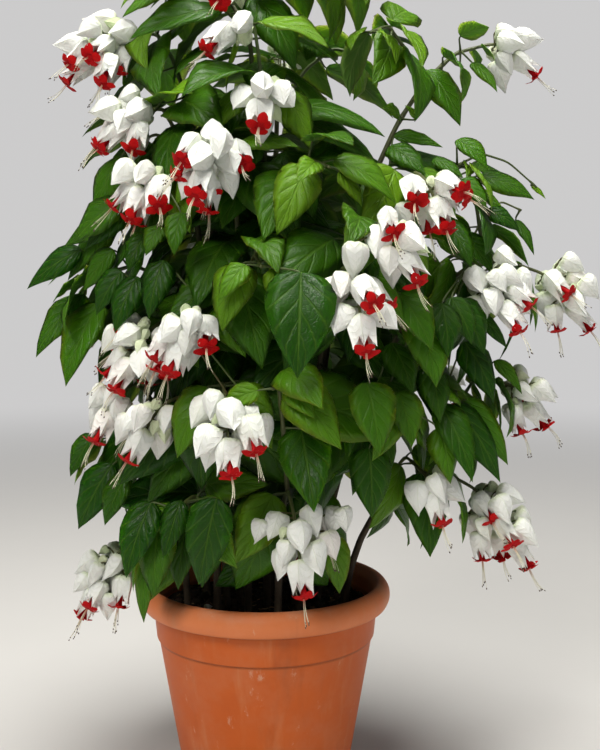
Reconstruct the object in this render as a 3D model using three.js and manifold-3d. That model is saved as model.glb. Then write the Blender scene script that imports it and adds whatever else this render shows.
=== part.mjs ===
// A bleeding heart vine (glory bower) in flower, growing in a moulded plastic pot.
//
// Square woody canes stand in the potting soil, arch outwards and droop at their ends.
// Each cane carries side shoots, with the ovate leaves in opposite pairs on both. Most ends
// carry a hanging spray: pairs of inflated, five-angled white calyces on a thin rachis. The
// open ones show a five-lobed crimson corolla with a long bundle of stamens.
//
// Millimetres, +Z up. The origin is the centre of the pot's flat base. -Y is the front and
// +X the right. Azimuths are degrees from the front, positive towards the right.

import * as THREE from 'three';
import { mergeVertices } from 'three/addons/utils/BufferGeometryUtils.js';
import Module from 'manifold-3d';

const wasm = await Module();
wasm.setup();

// ---------------------------------------------------------------- driving dimensions

const CLEARANCE = 0.4;            // gap kept between any two pieces

const POT = {
  height: 215,
  baseRadius: 79,
  stepHeight: 161,                // the outer wall steps out here
  stepRadius: 107,
  stepDepth: 1.8,
  neckRadius: 112,                // wall under the rolled lip
  lipHeight: 23,
  lipRadius: 125,
  mouthRadius: 111,
  wall: 3.2,
  floor: 4,
  drainRadius: 6,
  drainRing: 52,
  drains: 4,
  sides: 30,
};

const SOIL = { level: 188, mound: 5, roughness: 1.6 };

// A cane stands straight for bury + rise, and then bends over. A shoot leaves its cane where
// the cane is about drop lower than the shoot's end.
const CANE = { sides: 4, bury: 52, rise: 8, rootRadius: 5.2, tipRadius: 2, segments: 8 };
const SHOOT = { sides: 3, drop: 48, rootRadius: 3, tipRadius: 1.8, segments: 3 };

// The crown is egg-shaped: leaves face along the outward normal of this ellipsoid.
const CROWN = { radius: 190, halfHeight: 330, centre: 470 };

const LEAF = {
  length: 94,
  youngLength: 58,
  ages: [0.22, 0.84, 1],          // of each pair from the stem's end: 0 is young, 1 full-grown
  width: 0.60,                    // of the length
  rings: [0.13, 0.5],             // shares of the length where the outline has its corners
  thickness: 1.8,                 // at the midrib; the blade thins towards its edge
  petiole: 15,
  petioleRadius: 0.95,
  firstPair: 17,                  // distance of the first pair from the stem's end
  pairSpacing: 46,
  bareShare: 0.24,                // the first share of a stem has no leaves,
  bareHeight: 45,                 // nor has anything lower than this over the soil,
  bareRadius: 86,                 // or nearer the pot's axis than this,
  bareBelow: 690,                 // below this height
};

const CALYX = { length: 29, radius: 12.5, widestAt: 0.42 };
const COROLLA = { reach: 1.5, tubeRadius: 4.6, lobeRadius: 12 };
const STAMENS = { length: 26, roots: [[0.30, 0.03], [0.05, 0.16]] };   // shares of a facet
const RACHIS = { segments: 2, radius: 1.5, firstPair: 15, pairSpacing: 15, end: 11 };
const PEDICEL = { length: 12, radius: 1 };

// Each cane: where its foot stands (azimuth, radius), then its ends. The first end is the
// cane's own, the others are side shoots. An end is
// [azimuth, reach from the pot's axis, height, flowers, how many of them are open, leaf size],
// where an end with flowers is given by the middle of its spray, and leaf size is 1 if left out.
const CANES = [
  { name: 'right_high', foot: [62, 34], arch: 0.1, ends: [
    [90, 234, 716, 5, 1, 0.58], [52, 194, 578, 5, 4], [58, 116, 738, 0, 0]] },
  { name: 'right_mid', foot: [92, 52], ends: [
    [88, 290, 493, 7, 2], [75, 230, 497, 7, 2], [80, 186, 622, 0, 0, 0.85],
    [69, 200, 398, 0, 0]] },
  { name: 'right_low', foot: [80, 80], ends: [
    [78, 233, 282, 9, 4], [85, 250, 389, 5, 2], [60, 181, 317, 3, 1]] },
  { name: 'front_right', foot: [36, 56], ends: [
    [34, 204, 529, 5, 1], [25, 205, 483, 7, 3], [46, 178, 400, 0, 0]] },
  { name: 'front_top', foot: [6, 20], ends: [
    [1, 130, 651, 5, 1], [22, 158, 604, 0, 0], [-6, 111, 715, 3, 1]] },
  { name: 'front_low', foot: [10, 80], ends: [
    [12, 153, 287, 7, 3], [4, 174, 420, 0, 0]] },
  { name: 'front_left', foot: [-16, 54], ends: [
    [-16, 146, 593, 9, 5], [-22, 162, 458, 5, 2], [1, 168, 520, 0, 0]] },
  { name: 'front_left_low', foot: [-34, 78], ends: [
    [-12, 174, 385, 7, 3], [-34, 157, 380, 5, 2], [-28, 152, 310, 0, 0]] },
  { name: 'left_mid', foot: [-54, 46], ends: [
    [-59, 138, 643, 5, 2], [-46, 144, 586, 3, 2], [-48, 149, 443, 7, 4]] },
  { name: 'left_low', foot: [-72, 80], ends: [
    [-57, 163, 391, 3, 1], [-76, 162, 228, 7, 3], [-88, 165, 352, 0, 0]] },
  { name: 'left_high', foot: [-92, 26], ends: [
    [-79, 152, 711, 9, 4], [-88, 180, 512, 0, 0, 1.18], [-108, 148, 650, 0, 0]] },
  { name: 'top', foot: [160, 10], ends: [
    [-21, 75, 762, 3, 1], [75, 100, 806, 0, 0], [-88, 100, 800, 0, 0]] },
  { name: 'back_right', foot: [122, 50], ends: [
    [124, 182, 596, 5, 2], [113, 205, 410, 3, 1], [132, 182, 500, 0, 0]] },
  { name: 'back_mid', foot: [158, 72], ends: [
    [158, 186, 476, 3, 1], [142, 182, 330, 0, 0], [-176, 176, 345, 0, 0]] },
  { name: 'back_left', foot: [-142, 60], ends: [
    [-148, 172, 570, 5, 2], [-132, 184, 330, 3, 1], [-156, 182, 450, 0, 0]] },
  { name: 'left_back', foot: [-112, 66], ends: [
    [-112, 190, 470, 3, 1], [-105, 176, 325, 0, 0]] },
  { name: 'back_top', foot: [172, 36], ends: [
    [172, 120, 740, 3, 1], [178, 172, 636, 0, 0], [118, 116, 745, 0, 0]] },
];

// ---------------------------------------------------------------- small helpers

const UP = new THREE.Vector3(0, 0, 1);
const radians = THREE.MathUtils.degToRad;
const vec = (x, y, z) => new THREE.Vector3(x, y, z);

// A point given by azimuth (degrees from the front), distance from the axis and height.
const polar = (azimuth, radius, height) =>
  vec(radius * Math.sin(radians(azimuth)), -radius * Math.cos(radians(azimuth)), height);

// A repeatable draw from 0 to 1 for each pair of numbers.
function draw(a, b) {
  const s = Math.sin(a * 12.9898 + b * 78.233) * 43758.5453;
  return s - Math.floor(s);
}

// a x + b y + ... for pairs of (share, vector).
function blend(...terms) {
  const sum = vec(0, 0, 0);
  for (const [share, vector] of terms) sum.addScaledVector(vector, share);
  return sum;
}

// The unit vector at right angles to unit vector d that is nearest to v.
const across = (v, d) => v.clone().addScaledVector(d, -v.dot(d)).normalize();

// Outward normal of the egg-shaped crown at a point.
const outward = (p) => vec(
  p.x / CROWN.radius ** 2,
  p.y / CROWN.radius ** 2,
  (p.z - CROWN.centre) / CROWN.halfHeight ** 2,
).normalize();

// ---------------------------------------------------------------- closed skins

// A closed surface put together from rings of points. Rings run counter-clockwise about
// the way that the surface is followed, so that its faces point outwards.
class Skin {
  points = [];
  faces = [];

  ring(points) {
    return points.map((p) => this.points.push(p) - 1);
  }

  // Joins two rings, which may have different numbers of points.
  band(a, b) {
    let i = 0;
    let j = 0;
    while (i < a.length || j < b.length) {
      const a0 = a[i % a.length];
      const b0 = b[j % b.length];
      if (j === b.length || (i < a.length && (i + 1) / a.length <= (j + 1) / b.length)) {
        this.faces.push(a0, a[(i + 1) % a.length], b0);
        i += 1;
      } else {
        this.faces.push(a0, b[(j + 1) % b.length], b0);
        j += 1;
      }
    }
  }

  // Joins two rings that both face away from each other, turned to match best.
  link(a, b) {
    const back = [...a].reverse();
    const turns = back.map((_, k) => [...back.slice(k), ...back.slice(0, k)]);
    const spread = (turn) => turn.reduce(
      (sum, index, k) => sum + this.points[index].distanceTo(this.points[b[k]]), 0);
    turns.sort((p, q) => spread(p) - spread(q));
    this.band(turns[0], b);
  }

  // Closes a ring ahead with a point, or flat if there is none.
  close(ring, apex) {
    if (apex) {
      const [tip] = this.ring([apex]);
      ring.forEach((p, k) => this.faces.push(p, ring[(k + 1) % ring.length], tip));
      return;
    }
    for (let k = 1; k + 1 < ring.length; k += 1) this.faces.push(ring[0], ring[k], ring[k + 1]);
  }

  solid() {
    return new wasm.Manifold(new wasm.Mesh({
      numProp: 3,
      vertProperties: new Float32Array(this.points.flatMap((p) => p.toArray())),
      triVerts: new Uint32Array(this.faces),
    }));
  }
}

// A ring of points about centre, at right angles to direction, starting towards side.
function circle(centre, direction, side, radius, sides, start = 0) {
  const u = across(side, direction);
  const v = direction.clone().cross(u);
  return Array.from({ length: sides }, (_, k) => {
    const angle = start + (2 * Math.PI * k) / sides;
    return blend([1, centre], [radius * Math.cos(angle), u], [radius * Math.sin(angle), v]);
  });
}

// A closed tapering tube through centres, with a radius for each.
function tube(centres, directions, side, radii, sides, start) {
  const skin = new Skin();
  const rings = centres.map((c, k) =>
    skin.ring(circle(c, directions[k], side, radii[k], sides, start)));
  for (let k = 0; k + 1 < rings.length; k += 1) skin.band(rings[k], rings[k + 1]);
  skin.close([...rings[0]].reverse());
  skin.close(rings[rings.length - 1]);
  return skin.solid();
}

// A surface of revolution about Z from a profile of [radius, height] that starts and ends
// on the axis or closes on itself.
function revolved(profile, sides) {
  const points = profile.map(([r, h]) => new THREE.Vector2(r, h));
  const lathe = new THREE.LatheGeometry(points, sides).rotateX(Math.PI / 2);
  return solidOf(lathe);
}

function solidOf(geometry) {
  geometry.deleteAttribute('normal');
  geometry.deleteAttribute('uv');
  const merged = mergeVertices(geometry, 1e-3);
  const kept = [];
  const index = merged.index.array;
  for (let i = 0; i < index.length; i += 3) {
    const [a, b, c] = [index[i], index[i + 1], index[i + 2]];
    if (a !== b && b !== c && a !== c) kept.push(a, b, c);
  }
  const made = (faces) => new wasm.Manifold(new wasm.Mesh({
    numProp: 3,
    vertProperties: merged.attributes.position.array,
    triVerts: new Uint32Array(faces),
  }));
  const solid = made(kept);
  return solid.volume() > 0 ? solid : made([...kept].reverse());
}

// ---------------------------------------------------------------- pot and soil

// Outer radius of the tapering inner wall at a height.
function innerRadius(height) {
  const share = (height - POT.floor) / (POT.height - POT.lipHeight - POT.floor);
  const low = POT.baseRadius - POT.wall;
  const high = POT.neckRadius - POT.wall - 1;
  return low + (high - low) * Math.min(share, 1);
}

function potSolid() {
  const lipBottom = POT.height - POT.lipHeight;
  const profile = [
    [0, 0],
    [POT.baseRadius - 2.5, 0],
    [POT.baseRadius, 3],
    [POT.stepRadius, POT.stepHeight],
    [POT.stepRadius + POT.stepDepth, POT.stepHeight + 1.5],
    [POT.neckRadius, lipBottom],
    [POT.lipRadius - 4, lipBottom],
    [POT.lipRadius, lipBottom + 7],
    [POT.lipRadius - 1.2, lipBottom + 16],
    [POT.lipRadius - 7, POT.height],
    [POT.mouthRadius + 2, POT.height],
    [innerRadius(lipBottom), lipBottom],
    [innerRadius(POT.floor), POT.floor],
    [0, POT.floor],
  ];
  let pot = revolved(profile, POT.sides);
  for (let k = 0; k < POT.drains; k += 1) {
    const centre = polar(45 + (360 * k) / POT.drains, POT.drainRing, 0);
    const drain = tube(
      [vec(centre.x, centre.y, -5), vec(centre.x, centre.y, POT.floor + 5)],
      [UP, UP], vec(1, 0, 0), [POT.drainRadius, POT.drainRadius], 8);
    pot = pot.subtract(drain);
  }
  return pot;
}

// Height of the loose soil's surface, mounded towards the middle.
function soilHeight(x, y) {
  const r = Math.hypot(x, y) / POT.mouthRadius;
  const rough = Math.sin(x * 0.11 + 1.3) * Math.cos(y * 0.13 - 0.4);
  return SOIL.level + SOIL.mound * (1 - r * r) + SOIL.roughness * rough;
}

function soilSolid() {
  const bottom = POT.floor + CLEARANCE;
  const rim = innerRadius(SOIL.level) - CLEARANCE - 0.15;
  const profile = [
    [0, bottom],
    [innerRadius(bottom) - CLEARANCE - 0.15, bottom],
    [rim, SOIL.level],
    [rim * 0.55, SOIL.level],
    [0, SOIL.level],
  ];
  return revolved(profile, POT.sides).warp((p) => {
    if (p[2] > SOIL.level - 1 && Math.hypot(p[0], p[1]) < rim - 1) p[2] = soilHeight(p[0], p[1]);
  });
}

// ---------------------------------------------------------------- canes and shoots

// A run of straight lengths between knots on a Bezier curve. t goes from 0 to 1 along it.
class Course {
  constructor(curve, segments) {
    this.segments = segments;
    this.knots = Array.from({ length: segments + 1 }, (_, k) => curve.getPoint(k / segments));
    this.length = this.knots.slice(1).reduce(
      (sum, knot, k) => sum + knot.distanceTo(this.knots[k]), 0);
  }

  point(t) {
    const k = Math.min(Math.floor(t * this.segments), this.segments - 1);
    return this.knots[k].clone().lerp(this.knots[k + 1], t * this.segments - k);
  }

  direction(t) {
    const k = Math.min(Math.floor(t * this.segments), this.segments - 1);
    return this.knots[k + 1].clone().sub(this.knots[k]).normalize();
  }

  // The direction at a knot, halfway between those of the lengths that meet there.
  knotDirection(k) {
    const [before, after] = [Math.max(k - 1, 0), Math.min(k + 1, this.segments)];
    return blend(
      [1, this.direction((before + 0.5) / this.segments)],
      [1, this.direction((after - 0.5) / this.segments)],
    ).normalize();
  }
}

class Stem extends Course {
  constructor(root, end, kind, seed, leafSize = 1, arch = 1) {
    const run = vec(end.x - root.x, end.y - root.y, 0);
    const reach = run.length();
    const rise = end.z - root.z;
    const first = kind === CANE
      ? blend([1, root], [0.08, run], [0.62 * rise + 16, UP])
      : blend([1, root], [0.30, run], [0.5 * Math.max(rise, 0) + 0.28 * reach, UP]);
    const second = blend([1, root], [0.62, run], [rise + arch * (0.17 * reach + 16), UP]);
    super(new THREE.CubicBezierCurve3(root, first, second, end), kind.segments);
    this.side = run.normalize().cross(UP).normalize();
    this.kind = kind;
    this.seed = seed;
    this.leafSize = leafSize;
  }

  radius(t) { return this.kind.rootRadius + (this.kind.tipRadius - this.kind.rootRadius) * t; }

  solid() {
    const centres = [...this.knots];
    const directions = this.knots.map((_, k) => this.knotDirection(k));
    const radii = this.knots.map((_, k) => this.radius(k / this.segments));
    if (this.kind === CANE) {
      directions[0] = UP;
      centres.unshift(centres[0].clone().setZ(SOIL.level - CANE.bury));
      directions.unshift(UP);
      radii.unshift(radii[0]);
    }
    return tube(centres, directions, this.side, radii, this.kind.sides, Math.PI / 4);
  }
}

// The stem of a spray stops short of the spray's middle, and above it.
function stemEnd([azimuth, reach, height, flowers]) {
  if (!flowers) return polar(azimuth, reach, height);
  const length = rachisLength(flowers);
  return polar(azimuth, reach - 0.5 * length, height + 12 + 0.35 * length);
}

// Builds a cane's stems: its own, then a side shoot to each further end.
function stemsOf(cane, caneNumber) {
  const root = polar(cane.foot[0], cane.foot[1], SOIL.level + CANE.rise);
  const [ownEnd, ...shootEnds] = cane.ends.map(stemEnd);
  const [ownSize, ...leafSizes] = cane.ends.map((end) => end[5]);
  const own = new Stem(root, ownEnd, CANE, caneNumber * 10, ownSize, cane.arch);
  const shoots = shootEnds.map((end, k) => {
    const steps = Array.from({ length: 15 }, (_, n) => 0.12 + 0.05 * n);
    const miss = (t) => Math.abs(own.point(t).z - (end.z - SHOOT.drop));
    const t = steps.reduce((best, next) => (miss(next) < miss(best) ? next : best));
    return new Stem(own.point(t), end, SHOOT, caneNumber * 10 + k + 1, leafSizes[k]);
  });
  return [own, ...shoots];
}

// ---------------------------------------------------------------- flowers

// Adds a flower to a skin, from the small ring at the end of its pedicel. The calyx is an
// inflated five-angled lantern; a closed one tapers to a point.
function addFlower(skin, baseRing, { base, axis, side, size, isOpen }) {
  const length = CALYX.length * size;
  const at = (share) => blend([1, base], [length * share, axis]);
  const ringAt = (share, radius, turn) =>
    skin.ring(circle(at(share), axis, side, radius * size, 5, (turn * Math.PI) / 5));
  const angles = ringAt(CALYX.widestAt, CALYX.radius, 0);
  skin.band(baseRing, angles);
  if (!isOpen) {
    skin.close(angles, at(1));
    return;
  }
  const star = 1 + COROLLA.reach / CALYX.length;
  const notches = ringAt(star, COROLLA.tubeRadius, 1);
  skin.band(angles, notches);
  const lobes = ringAt(star + 0.04, COROLLA.lobeRadius, 2);
  const [eye] = skin.ring([at(star + 0.11)]);
  lobes.forEach((lobe, k) => {
    const [near, far] = [notches[k], notches[(k + 1) % 5]];
    skin.faces.push(near, far, lobe, lobe, far, eye);
    if (k > 0) skin.faces.push(near, lobe, eye);
    else addStamens(skin, near, lobe, eye, axis);
  });
}

// Fills the facet near-lobe-eye, with the stamens raised on it as one slim spike.
function addStamens(skin, near, lobe, eye, axis) {
  const root = (toNear, toLobe) => blend(
    [1 - toNear - toLobe, skin.points[eye]],
    [toNear, skin.points[near]],
    [toLobe, skin.points[lobe]],
  );
  const [a, b, tip] = skin.ring([
    root(...STAMENS.roots[0]), root(...STAMENS.roots[1]),
    blend([1, skin.points[eye]], [STAMENS.length, axis]),
  ]);
  skin.faces.push(
    near, lobe, b, near, b, a, near, a, eye, lobe, eye, b,
    eye, a, tip, a, b, tip, b, eye, tip);
}

const pairsOf = (flowers) => Math.floor((flowers - 1) / 2);

function rachisLength(flowers) {
  return RACHIS.firstPair + RACHIS.pairSpacing * Math.max(pairsOf(flowers) - 1, 0) + RACHIS.end;
}

// Where a spray's pieces lie. The rachis is a quadratic Bezier curve that leaves the stem's
// end straight and bends down under the flowers' weight.
class Spray extends Course {
  constructor(stem, flowers, open) {
    const along = stem.direction(1);
    const start = blend([1, stem.point(1)], [CLEARANCE, along]);
    const length = rachisLength(flowers);
    const bend = blend([1, start], [0.45 * length, along]);
    const end = blend([1, bend], [0.25 * length, along], [-0.40 * length, UP]);
    super(new THREE.QuadraticBezierCurve3(start, bend, end), RACHIS.segments);
    this.stem = stem;
    this.pairs = pairsOf(flowers);
    this.openShare = (open - 1) / (flowers - 1);   // of the flowers other than the last
    this.isLastOpen = open > 0;
    this.azimuth = Math.atan2(start.x, -start.y);
  }

  // Flowers at the front of the plant hang down more than those at its sides.
  nod() { return 0.5 + 0.4 * Math.max(Math.cos(this.azimuth), 0); }

  // The flower at one end of a pair, for one of the turns that the pair may take.
  flower(pair, sign, turn) {
    const seed = this.stem.seed * 7 + pair * 2 + (sign > 0 ? 1 : 0);
    const t = (RACHIS.firstPair + RACHIS.pairSpacing * pair) / rachisLength(2 * this.pairs + 1);
    const centre = this.point(t);
    const along = this.direction(t);
    const u = across(this.stem.side, along);
    const v = along.clone().cross(u);
    const angle = radians(90 * (pair % 2) + turn + 16 * (draw(this.stem.seed, pair + 40) - 0.5));
    const out = blend([sign * Math.cos(angle), u], [sign * Math.sin(angle), v]);
    const base = blend([1, centre], [PEDICEL.length, out]);
    const axis = blend(
      [0.62, out], [0.42 + 0.2 * draw(seed, 5), outward(centre)], [0.35, along],
      [-this.nod(), UP],
    ).normalize();
    const size = 0.88 + 0.24 * draw(seed, 6);
    return { out, base, axis, side: out, size, isOpen: draw(seed, 7) < this.openShare };
  }
}

// Degrees that a pair of flowers may be turned until it is clear.
const PAIR_TURNS = [0, 35, -35, 70, -70];

const pedicelRing = (skin, flower) => skin.ring(
  circle(flower.base, flower.out, UP, PEDICEL.radius, 3));

// Two flowers with their pedicels, which run straight through the rachis.
function pairSolid(flowers) {
  const skin = new Skin();
  const rings = flowers.map((flower) => pedicelRing(skin, flower));
  flowers.forEach((flower, k) => addFlower(skin, rings[k], flower));
  skin.link(rings[0], rings[1]);
  return skin.solid();
}

function loneFlower(flower) {
  const skin = new Skin();
  const ring = pedicelRing(skin, flower);
  skin.close([...ring].reverse());
  addFlower(skin, ring, flower);
  return skin.solid();
}

// The rachis, with the last flower on its end. It starts square to the stem's flat end.
function rachisSolid(spray) {
  const skin = new Skin();
  const { stem } = spray;
  const directions = spray.knots.map((_, k) => (k ? spray.knotDirection(k) : stem.direction(1)));
  const rings = spray.knots.map((knot, k) => skin.ring(
    circle(knot, directions[k], stem.side, RACHIS.radius, 3)));
  skin.close([...rings[0]].reverse());
  for (let k = 0; k + 1 < rings.length; k += 1) skin.band(rings[k], rings[k + 1]);
  const last = { base: spray.point(1), axis: spray.direction(1), side: stem.side, size: 1 };
  addFlower(skin, rings[RACHIS.segments], { ...last, isOpen: spray.isLastOpen });
  return skin.solid();
}

// ---------------------------------------------------------------- leaves

// Half width of a leaf, as a share of its greatest, along its length: ovate, drawn out to
// a long point.
const leafOutline = (s) => 2.75 * Math.sqrt(s) * (1 - s) ** 1.15;

// Ways that a blade may be swung and lifted, in degrees, until it is clear of its neighbours.
const LEAF_TURNS = [
  [0, 0], [14, 0], [-14, 0], [0, 14], [0, -14], [26, 6], [-26, 6], [20, -12], [-20, -12],
  [38, 0], [-38, 0], [0, 30], [30, 24], [-30, 24], [52, 8], [-52, 8], [0, -30],
];

// How far along its stem a pair stands.
const leafShare = (stem, pair) => 1 - (LEAF.firstPair + LEAF.pairSpacing * pair) / stem.length;

// One leaf of a pair: its petiole's end and the frame in which its blade arches over.
function leafFrame(stem, pair, sign, turn) {
  const seed = stem.seed * 11 + pair * 2 + (sign > 0 ? 1 : 0);
  const t = leafShare(stem, pair);
  const centre = stem.point(t);
  const along = stem.direction(t);
  const u = across(stem.side, along);
  let v = u.clone().cross(along);
  const face = outward(centre);
  if (v.dot(face) < 0) v = v.negate();
  const angle = radians((pair % 2 ? 38 : -6) + 24 * (draw(stem.seed, pair + 60) - 0.5));
  const out = blend([sign * Math.cos(angle), u], [sign * Math.sin(angle), v]);
  const age = LEAF.ages[pair];
  const length = (LEAF.youngLength + (LEAF.length - LEAF.youngLength) * age)
    * (0.88 + 0.24 * draw(seed, 1)) * stem.leafSize;
  const base = blend([1, centre], [LEAF.petiole * (0.7 + 0.3 * age) + stem.radius(t), out]);
  const heading = blend(
    [0.72, out], [0.40, face], [0.22, along], [-0.46 - 0.36 * draw(seed, 2), UP],
  ).normalize();
  const normal = across(blend([0.9, face], [0.55, UP]), heading);
  const [swing, lift] = turn.map(radians);
  const width = normal.clone().cross(heading);
  const swung = blend([Math.cos(swing), heading], [Math.sin(swing), width]);
  return {
    centre, along, out, base, length,
    heading: blend([Math.cos(lift), swung], [Math.sin(lift), normal]),
    normal: blend([Math.cos(lift), normal], [-Math.sin(lift), swung]),
    arch: radians(34 + 34 * draw(seed, 3)),
  };
}

// The midrib's point and the blade's axes at a share s of the length.
function bladeAt(leaf, s) {
  const angle = leaf.arch * s;
  const bow = leaf.length / leaf.arch;
  const point = blend(
    [1, leaf.base], [bow * Math.sin(angle), leaf.heading],
    [-bow * (1 - Math.cos(angle)), leaf.normal]);
  const direction = blend([Math.cos(angle), leaf.heading], [-Math.sin(angle), leaf.normal]);
  const normal = blend([Math.cos(angle), leaf.normal], [Math.sin(angle), leaf.heading]);
  return { point, direction, normal, width: normal.clone().cross(direction) };
}

// Adds a blade that is thick at the midrib and thin at its edge, and returns the ring at its
// petiole's end.
function addBlade(skin, leaf) {
  const start = skin.ring(circle(leaf.base, leaf.out, leaf.along, LEAF.petioleRadius, 3));
  let previous = start;
  for (const s of LEAF.rings) {
    const at = bladeAt(leaf, s);
    const half = 0.5 * LEAF.width * leaf.length * leafOutline(s);
    const ring = skin.ring([
      blend([1, at.point], [half, at.width]),
      blend([1, at.point], [-half, at.width]),
      blend([1, at.point], [-LEAF.thickness, at.normal]),
    ]);
    skin.band(previous, ring);
    previous = ring;
  }
  skin.close(previous, bladeAt(leaf, 1).point);
  return start;
}

// Adds a petiole that starts at a point, to a blade's own ring.
function addPetiole(skin, leaf, from, start) {
  const butt = skin.ring(circle(from, leaf.out, leaf.along, LEAF.petioleRadius, 3));
  skin.band(butt, start);
  skin.close([...butt].reverse());
}

// A blade with the outer stretch of its petiole, to try against its neighbours.
function loneLeaf(leaf, stemRadius) {
  const skin = new Skin();
  const start = addBlade(skin, leaf);
  addPetiole(skin, leaf, blend([1, leaf.centre], [stemRadius + 1, leaf.out]), start);
  return skin.solid();
}

// A pair of leaves with their petioles joined through the stem, or one leaf rooted in it.
function leavesSolid(leaves) {
  const skin = new Skin();
  const rings = leaves.map((leaf) => addBlade(skin, leaf));
  if (rings.length === 2) skin.link(rings[0], rings[1]);
  else addPetiole(skin, leaves[0], leaves[0].centre, rings[0]);
  return skin.solid();
}

// ---------------------------------------------------------------- keeping clear

// Every solid placed so far, to keep new ones clear of.
const placed = [];

const boxed = (solid) => ({ solid, box: solid.boundingBox() });

const boxesMeet = (p, q) => [0, 1, 2].every(
  (k) => p.min[k] - 1 < q.max[k] && q.min[k] - 1 < p.max[k]);

function isClear(solid, others = placed) {
  const box = solid.boundingBox();
  return others.every((other) => !boxesMeet(box, other.box)
    || solid.minGap(other.solid, CLEARANCE + 0.1) >= CLEARANCE);
}

// ---------------------------------------------------------------- growing the plant

const nodes = new Map();

// Adds solids to a node, fused into one body.
function fuse(name, solids) {
  const before = nodes.has(name) ? [nodes.get(name)] : [];
  nodes.set(name, wasm.Manifold.union([...before, ...solids]));
}

// The plain hole in the soil that a cane stands in.
function footHole(cane) {
  const foot = cane.stems[0].point(0);
  const radius = CANE.rootRadius + 1.5 * CLEARANCE;
  const ends = [SOIL.level - CANE.bury - CLEARANCE, POT.height].map((z) => foot.clone().setZ(z));
  return tube(ends, [UP, UP], cane.stems[0].side, [radius, radius], CANE.sides, Math.PI / 4);
}

// Adds the rachis with its last flower and, where they are clear, its pairs of flowers.
function growSpray(name, spray) {
  const solids = [rachisSolid(spray)];
  const own = [];
  for (let pair = 0; pair < spray.pairs; pair += 1) {
    const choices = PAIR_TURNS.map((turn) => [1, -1].map((sign) => spray.flower(pair, sign, turn)));
    const clear = choices.filter((both) => isClear(pairSolid(both)));
    const both = clear.find((flowers) => flowers.every((f) => isClear(loneFlower(f), own))) ?? clear[0];
    if (!both) continue;
    own.push(...both.map((flower) => boxed(loneFlower(flower))));
    solids.push(pairSolid(both));
  }
  placed.push(...solids.map(boxed));
  fuse(name, solids);
}

function isBare(stem, t) {
  if (t < LEAF.bareShare) return true;
  const { x, y, z } = stem.point(t);
  if (z < SOIL.level + LEAF.bareHeight) return true;
  return z < LEAF.bareBelow && Math.hypot(x, y) < LEAF.bareRadius;
}

// The first of a leaf's turns that is clear, or nothing.
function clearLeaf(stem, pair, sign) {
  for (const turn of LEAF_TURNS) {
    const leaf = leafFrame(stem, pair, sign, turn);
    const solid = loneLeaf(leaf, stem.radius(leafShare(stem, pair)));
    if (isClear(solid)) {
      placed.push(boxed(solid));
      return leaf;
    }
  }
  return null;
}

function growLeaves(name, stem) {
  LEAF.ages.forEach((_, pair) => {
    if (isBare(stem, leafShare(stem, pair))) return;
    const leaves = [1, -1].map((sign) => clearLeaf(stem, pair, sign)).filter(Boolean);
    if (leaves.length) fuse(name, [leavesSolid(leaves)]);
  });
}

const canes = CANES.map((cane, number) => ({ ...cane, stems: stemsOf(cane, number + 1) }));

nodes.set('pot', potSolid());
nodes.set('potting_soil', soilSolid().subtract(wasm.Manifold.union(canes.map(footHole))));
placed.push(...[...nodes.values()].map(boxed));

for (const cane of canes) {
  const solids = cane.stems.map((stem) => stem.solid());
  placed.push(...solids.map(boxed));
  fuse(`cane_${cane.name}`, solids);
}
for (const cane of canes) {
  cane.stems.forEach((stem, k) => {
    const [, , , flowers, open] = cane.ends[k];
    if (flowers) growSpray(`spray_${cane.name}_${k + 1}`, new Spray(stem, flowers, open));
  });
}
for (const cane of canes) {
  cane.stems.forEach((stem) => growLeaves(`cane_${cane.name}`, stem));
}

// ---------------------------------------------------------------- the scene graph

const MATERIALS = {
  pot: { color: 0xb85c33, roughness: 0.55, metalness: 0 },
  potting_soil: { color: 0x1d140e, roughness: 1, metalness: 0 },
  cane: { color: 0x2f5a1c, roughness: 0.5, metalness: 0 },
  spray: { color: 0xf1efe8, roughness: 0.6, metalness: 0 },
};

const plant = new THREE.Group();
plant.name = 'bleeding_heart_vine';
for (const [name, solid] of nodes) {
  const mesh = solid.getMesh();
  const geometry = new THREE.BufferGeometry()
    .setAttribute('position', new THREE.BufferAttribute(mesh.vertProperties, 3))
    .setIndex(new THREE.BufferAttribute(mesh.triVerts, 1));
  geometry.computeVertexNormals();
  const material = MATERIALS[name] ?? MATERIALS[name.split('_')[0]];
  const part = new THREE.Mesh(geometry, new THREE.MeshStandardMaterial(material));
  part.name = name;
  plant.add(part);
}

export default plant;
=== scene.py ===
"""A bleeding heart vine in flower, in a moulded plastic pot.

The plan of canes, sprays and leaves is worked out in millimetres, with +Z up, -Y the front and
+X the right. Azimuths are degrees from the front, positive towards the right. Meshes are made
in metres.
"""

import math

import bpy
import numpy as np
from mathutils.bvhtree import BVHTree
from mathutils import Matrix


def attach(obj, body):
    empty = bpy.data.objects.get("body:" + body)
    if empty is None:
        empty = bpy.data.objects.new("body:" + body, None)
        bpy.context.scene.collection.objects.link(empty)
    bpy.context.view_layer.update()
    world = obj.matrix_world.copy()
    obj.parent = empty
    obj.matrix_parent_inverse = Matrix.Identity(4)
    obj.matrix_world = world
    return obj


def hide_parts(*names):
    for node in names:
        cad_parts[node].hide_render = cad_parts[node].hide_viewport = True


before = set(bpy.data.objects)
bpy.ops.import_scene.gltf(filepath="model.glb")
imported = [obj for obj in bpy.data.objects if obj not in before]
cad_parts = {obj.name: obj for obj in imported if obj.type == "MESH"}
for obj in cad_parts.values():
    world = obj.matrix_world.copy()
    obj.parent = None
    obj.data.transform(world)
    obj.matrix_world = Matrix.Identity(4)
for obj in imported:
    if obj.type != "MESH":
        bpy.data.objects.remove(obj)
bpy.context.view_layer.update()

# ---- driving dimensions

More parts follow.
